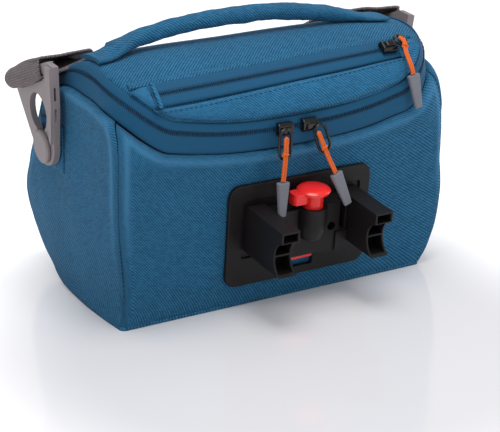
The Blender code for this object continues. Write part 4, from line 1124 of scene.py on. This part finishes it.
class BAG_OT_main_zip(bpy.types.Operator):
    """Tapes and teeth of both zips"""

    bl_idname = "bag.main_zip"
    bl_label = "Zips"

    def execute(self, context):
        pitch = context.scene.bag_sizes.tooth_pitch
        self.tapes(HINGE_LEFT - AROUND, HINGE_RIGHT)
        self.main_coil(HINGE_LEFT - AROUND + 0.5, HINGE_RIGHT - 0.5, pitch)
        self.pocket_coil(0.8 * pitch)
        return {"FINISHED"}

    def tapes(self, first, last):
        around = lengths_along([band_point(first + (last - first) * k / 300, COIL_PLACE) for k in range(301)])
        for name, low, high, node in (
            ("zip_tape_lower", 0.0, COIL_PLACE - COIL_GAP, "main_zip_tape_lower"),
            ("zip_tape_upper", COIL_PLACE + COIL_GAP, 1.0, "main_zip_tape_upper"),
        ):

            def at(a, b):
                return band_point(first + (last - first) * a, low + (high - low) * b)

            def uv(a, b):
                return around[int(round(300 * a))], ZIP_BAND * (low + (high - low) * b - COIL_PLACE)

            shape = sheet(300, 8, at, uv)
            crumple(shape, 0.018, 0.0004, 7.0)
            press_edges(shape, boundary_distance(shape), 0.0005, 0.0012)
            obj = piece(name, shape, tape_cloth(), (node,), thickness=TAPE_WALL)

    def main_coil(self, first, last, pitch):
        line = [band_point(first + (last - first) * k / 600, COIL_PLACE) for k in range(601)]
        outward = [Vector((p.x / HALF_WIDTH, p.y / LID_FRONT, 0)).normalized() for p in line]
        self.teeth("zip_coil", line, outward, pitch, "main_zip_coil", 0.0010, 0.0001)

    def pocket_coil(self, pitch):
        middle = -LID_FRONT + 0.5 * (POCKET_FOLD + POCKET_TOP)
        lift = POCKET_LIFT + POCKET_TAPE
        xs = [POCKET_COIL_REACH * (k / 100 - 1) for k in range(201)]
        line = [lid_point(x, middle + POCKET_SLANT * x, lift) for x in xs]
        outward = [lid_point(x, middle + POCKET_SLANT * x, 1.0) - p for x, p in zip(xs, line)]
        self.teeth("pocket_coil", line, outward, pitch, "pocket_zip_coil", 0.0007, 0.0002)

    def teeth(self, name, line, outward, pitch, node, half, lift):
        """Two rows of small rounded teeth, the second shifted by half a pitch."""
        shape = bmesh.new()
        distance = lengths_along(line)
        for row, side in enumerate((-1, 1)):
            k = 0
            for i in range(int(distance[-1] / pitch) - 1):
                target = (i + 0.5 + 0.5 * row) * pitch
                while distance[k + 1] < target:
                    k += 1
                along = (line[k + 1] - line[k]).normalized()
                out = outward[k].normalized()
                up = along.cross(out).normalized()
                out = up.cross(along)
                turn = Matrix((along, up, out)).transposed().to_4x4()
                turn.translation = line[k].lerp(line[k + 1], 0.5) + up * side * 0.55 * half + out * lift
                made = bmesh.ops.create_icosphere(shape, subdivisions=1, radius=0.5)
                bmesh.ops.scale(shape, vec=(0.62 * pitch, 1.3 * half, 0.0009), verts=made["verts"])
                bmesh.ops.transform(shape, matrix=turn, verts=made["verts"])
        piece(name, shape, teeth_plastic(), (node,))


class BAG_OT_handle(bpy.types.Operator):
    """Padded carry handle with its sewn ends"""

    bl_idname = "bag.handle"
    bl_label = "Carry handle"

    def execute(self, context):
        low, high = HANDLE_SECTIONS[0][0], HANDLE_SECTIONS[-1][0]

        def at(a, b):
            along = low + (high - low) * a
            rise, rounding = blend_between(HANDLE_SECTIONS, along), blend_between(HANDLE_SECTIONS, along, 2)
            rounding = min(max(rounding, 0.0), 1.0)
            x = along * HANDLE_REACH
            half_width = HANDLE_TAB_HALF_WIDTH + (HANDLE_RADIUS - HANDLE_TAB_HALF_WIDTH) * rounding
            half_height = HANDLE_TAB_HALF_THICKNESS + (HANDLE_RADIUS - HANDLE_TAB_HALF_THICKNESS) * rounding
            seat = max(lid_height(x, HANDLE_Y + HANDLE_TAB_HALF_WIDTH * k / 4) for k in range(-4, 5))
            z = max(seat + 0.0003 + half_height, LID_HEIGHT + HANDLE_RISE * rise)
            turn = -2 * math.pi * b
            power = 0.5 + 0.5 * rounding
            c, s = math.cos(turn), math.sin(turn)
            y = HANDLE_Y + half_width * math.copysign(abs(c) ** power, c)
            sag = 0.8 * max(seat - lid_height(x, y), 0.0) if rounding < 0.25 else 0.0
            return Vector((x, y, z + half_height * math.copysign(abs(s) ** power, s) - sag))

        length = (high - low) * HANDLE_REACH
        shape = sheet(220, 40, at, lambda a, b: (1.08 * length * a, 0.040 * b), closed=True)
        bmesh.ops.holes_fill(shape, edges=[e for e in shape.edges if e.is_boundary], sides=0)
        bmesh.ops.recalc_face_normals(shape, faces=shape.faces)
        crumple(shape, 0.010, 0.0007, 11.0, (0.9, 1, 1))
        crumple(shape, 0.004, 0.0002, 12.0)
        obj = piece("handle_cover", shape, body_cloth(), ("carry_handle",))
        return {"FINISHED"}


class BAG_OT_strap(bpy.types.Operator):
    """Webbing of the shoulder strap"""

    bl_idname = "bag.strap"
    bl_label = "Shoulder strap"

    def half(self, side):
        """Both edges of one half of the strap. Its front edge is pulled tight over the hook's bar."""
        across = Vector((0, math.cos(HOOK_SLOT_TILT), -math.sin(HOOK_SLOT_TILT)))
        above = Vector((0, math.sin(HOOK_SLOT_TILT), math.cos(HOOK_SLOT_TILT)))
        x, splay = HOOK_FRAMES[side]
        lean = Matrix.Translation((x, STUD_Y, STUD_Z)) @ Matrix.Rotation(side * splay, 4, "Y")
        rows = []
        for (outward, up), (tight, run_on, droop, rise) in zip(STRAP_LOOP, STRAP_EDGES):
            edges = []
            front, back = (-STRAP_HALF - run_on, tight, up - droop), (STRAP_HALF, 1.0, up + rise)
            for reach, share, height in (front, back):
                slot = Vector((side * (HOOK_THICKNESS + outward * share), *HOOK_SLOT))
                edges.append(lean @ (slot + above * height + across * reach))
            rows.append(edges)
        for x, y, z, turn in STRAP_ROUTE:
            angle = math.radians(turn)
            wide = Vector((0, math.sin(angle), -math.cos(angle))) * STRAP_HALF
            middle = Vector((side * x, y, z))
            rows.append([middle - wide, middle + wide])
        return rows

    def execute(self, context):
        route = self.half(-1) + list(reversed(self.half(1)))[1:]
        front, back = (smooth_line([edges[k] for edges in route], 6) for k in (0, 1))
        middle = [a.lerp(b, 0.5) for a, b in zip(front, back)]
        distance = lengths_along(middle)
        last = len(middle) - 1

        def at(a, b):
            k = int(round(a * last))
            along = (middle[min(k + 1, last)] - middle[max(k - 1, 0)]).normalized()
            through = along.cross(back[k] - front[k]).normalized()
            return front[k].lerp(back[k], b) + through * 0.0006 * math.cos(2 * math.pi * (b - 0.5))

        shape = sheet(last, 16, at, lambda a, b: (2 * STRAP_HALF * b, distance[int(round(a * last))]))
        nodes = ("shoulder_strap",)
        piece("strap_webbing", shape, webbing_cloth(), nodes, thickness=WEBBING_WALL, offset=0.0)
        return {"FINISHED"}


class BAG_OT_fittings(bpy.types.Operator):
    """Hooks, studs and their patches, the plate, the adapter and its button"""

    bl_idname = "bag.fittings"
    bl_label = "Moulded fittings"

    def execute(self, context):
        edge = context.scene.bag_sizes.edge_round
        grey, black, red = grey_plastic(), black_plastic(), red_plastic()
        for side in ("left", "right"):
            moulded(f"hook_{side}", f"strap_hook_{side}", grey, edge=1.3 * edge)
            moulded(f"stud_{side}", f"strap_stud_{side}", grey, edge=0.6 * edge)
            moulded(f"arm_{side}", f"adapter_arm_{side}", black, edge=0.7 * edge)
            self.patch(side)
        moulded("face_plate", "bag_plate", black, edge=1.2 * edge, segments=3)
        moulded("adapter_body", "adapter_base", black, edge=0.9 * edge)
        moulded("button", "release_button", red, "release", edge, 3)
        moulded("latch", "latch_bolt", red, "release", 0.6 * edge)
        return {"FINISHED"}

    def patch(self, side):
        low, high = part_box(f"stud_patch_{side}")
        middle = 0.5 * (Vector(low) + Vector(high))
        outward = -1 if side == "left" else 1
        size = high[1] - low[1]

        def at(a, b):
            return Vector((middle.x, middle.y + outward * size * (a - 0.5), middle.z + size * (b - 0.5)))

        shape = sheet(24, 24, at, lambda a, b: (size * a, size * b))
        press_edges(shape, boundary_distance(shape), 0.0006, 0.0016)
        nodes = (f"stud_patch_{side}",)
        cloth = body_cloth()
        obj = piece(f"patch_{side}", shape, cloth, nodes, thickness=PATCH_WALL, offset=0.0)


class BAG_OT_pulls(bpy.types.Operator):
    """Sliders, wire pullers, doubled cords and grips"""

    bl_idname = "bag.pulls"
    bl_label = "Zip pulls"

    def execute(self, context):
        radius = context.scene.bag_sizes.strand_radius
        metal, grey = slider_metal(), grip_rubber()
        for name, route in CORDS.items():
            slider, puller, tab = f"zip_slider_{name}", f"zip_puller_{name}", f"pull_tab_{name}"
            moulded(f"slider_{name}", slider, metal, edge=0.0016, segments=3, swell=0.0005)
            moulded(f"puller_{name}", puller, metal, edge=0.0002, swell=0.00035)
            grip = moulded(f"grip_{name}", tab, grey, edge=0.0009, segments=3)
            self.cord(name, route, radius, grip)
        return {"FINISHED"}

    def cord(self, name, route, radius, grip):
        path = smooth_line(route, 8)
        shape = bmesh.new()
        strands = ([], [])
        for i, point in enumerate(path):
            along = (path[min(i + 1, len(path) - 1)] - path[max(i - 1, 0)]).normalized()
            side = along.cross(Vector(CORD_FACING)).normalized()
            for strand, sign in zip(strands, (-1, 1)):
                strand.append(point + side * sign * 0.98 * radius)
        top = path[0] + (path[0] - path[1]).normalized() * 0.9 * radius
        doubled = [*reversed(strands[0]), top, *strands[1]]
        add_tube(shape, doubled, radius)
        self.knot(shape, path, radius)
        obj = piece(f"cord_{name}", shape, cord_yarn(), (f"pull_cord_{name}",), sharp=80)
        tuple(path[0])
        lengths_along(path)[-1]
        [tuple(p) for p in path]

    def knot(self, shape, path, radius):
        """A turn of cord round both strands, a third of the way down."""
        k = len(path) // 3
        along = (path[k + 1] - path[k]).normalized()
        side = along.cross(Vector(CORD_FACING)).normalized()
        out = side.cross(along)
        ring = []
        for i in range(15):
            turn = 2 * math.pi * i / 14
            point = path[k] + side * 2.3 * radius * math.cos(turn) + out * 1.35 * radius * math.sin(turn)
            ring.append(point + along * 0.25 * radius * turn)
        add_tube(shape, ring, 0.75 * radius, 6)


class BAG_OT_stage(bpy.types.Operator):
    """Pale floor, soft studio light and the camera"""

    bl_idname = "bag.stage"
    bl_label = "Stage"

    def execute(self, context):
        shape = bmesh.new()
        bmesh.ops.create_grid(shape, x_segments=1, y_segments=1, size=6.0)
        mesh = bpy.data.meshes.new("floor")
        shape.to_mesh(mesh)
        shape.free()
        material, tree, shader, coordinates = start_material("pale floor", 0.10, specular=0.8)
        shader.inputs["Base Color"].default_value = (0.75, 0.74, 0.76, 1.0)
        shader.inputs["Emission Color"].default_value = (1.0, 1.0, 1.0, 1.0)
        away = tree.nodes.new("ShaderNodeVectorMath")
        away.operation = "LENGTH"
        shifted = tree.nodes.new("ShaderNodeVectorMath")
        shifted.inputs[1].default_value = FLOOR_GLOW_SHIFT
        tree.links.new(coordinates.outputs["Object"], shifted.inputs[0])
        tree.links.new(shifted.outputs[0], away.inputs[0])
        glow = tree.nodes.new("ShaderNodeMapRange")
        glow.interpolation_type = "SMOOTHSTEP"
        for label, value in FLOOR_GLOW:
            glow.inputs[label].default_value = value
        tree.links.new(away.outputs["Value"], glow.inputs["Value"])
        tree.links.new(glow.outputs[0], shader.inputs["Emission Strength"])
        mesh.materials.append(material)
        floor = bpy.data.objects.new("floor", mesh)
        floor.location.z = -FLOOR_DEPTH
        context.scene.collection.objects.link(floor)
        self.lights(context)
        self.camera(context)
        return {"FINISHED"}

    def lights(self, context):
        world = bpy.data.worlds.new("studio")
        world.use_nodes = True
        background = world.node_tree.nodes["Background"]
        background.inputs["Color"].default_value = (0.97, 0.98, 1.0, 1.0)
        background.inputs["Strength"].default_value = 0.50
        context.scene.world = world
        context.scene.view_settings.view_transform = "Standard"
        for name, place, size, power in LIGHTS:
            light = bpy.data.lights.new(name, "AREA")
            light.size = size
            light.energy = power
            obj = bpy.data.objects.new(name, light)
            obj.location = place
            aim = Vector(LIGHTS_AIM) - Vector(place)
            obj.rotation_euler = aim.to_track_quat("-Z", "Y").to_euler()
            context.scene.collection.objects.link(obj)

    def camera(self, context):
        flat = math.cos(CAMERA_RISE)
        back = Vector((math.sin(CAMERA_TURN) * flat, -math.cos(CAMERA_TURN) * flat, math.sin(CAMERA_RISE)))
        right = Vector((0, 0, 1)).cross(back).normalized()
        up = back.cross(right)
        tilted = right * math.cos(CAMERA_ROLL) + up * math.sin(CAMERA_ROLL)
        upright = up * math.cos(CAMERA_ROLL) - right * math.sin(CAMERA_ROLL)
        data = bpy.data.cameras.new("camera")
        data.sensor_width = SENSOR_WIDTH
        data.lens = FOCAL_PIXELS / PICTURE_PIXELS * SENSOR_WIDTH
        data.clip_start = 0.05
        obj = bpy.data.objects.new("camera", data)
        obj.matrix_world = Matrix((tilted, upright, back)).transposed().to_4x4()
        obj.location = Vector(CAMERA_AIM) + back * CAMERA_DISTANCE
        context.scene.collection.objects.link(obj)
        context.scene.camera = obj


class BAG_PT_panel(bpy.types.Panel):
    """Lists the bag's sizes, colours and pieces"""

    bl_idname = "BAG_PT_panel"
    bl_label = "Handlebar bag"
    bl_space_type = "VIEW_3D"
    bl_region_type = "UI"
    bl_category = "Bag"

    def draw(self, context):
        layout = self.layout
        for group in (context.scene.bag_sizes, context.scene.bag_colours):
            box = layout.box()
            for name in group.__annotations__:
                box.prop(group, name)
        for operator in PIECES:
            layout.operator(operator.bl_idname)


PIECES = (
    BAG_OT_body,
    BAG_OT_lid,
    BAG_OT_main_zip,
    BAG_OT_handle,
    BAG_OT_strap,
    BAG_OT_fittings,
    BAG_OT_pulls,
    BAG_OT_stage,
)
CLASSES = (BagSizes, BagColours, *PIECES, BAG_PT_panel)


def register():
    for kind in CLASSES:
        bpy.utils.register_class(kind)
    bpy.types.Scene.bag_sizes = bpy.props.PointerProperty(type=BagSizes)
    bpy.types.Scene.bag_colours = bpy.props.PointerProperty(type=BagColours)


def unregister():
    del bpy.types.Scene.bag_sizes
    del bpy.types.Scene.bag_colours
    for kind in reversed(CLASSES):
        bpy.utils.unregister_class(kind)


def main():
    register()
    bpy.ops.bag.body()
    bpy.ops.bag.lid()
    bpy.ops.bag.main_zip()
    bpy.ops.bag.handle()
    bpy.ops.bag.strap()
    bpy.ops.bag.fittings()
    bpy.ops.bag.pulls()
    bpy.ops.bag.stage()


if __name__ == "__main__":
    main()
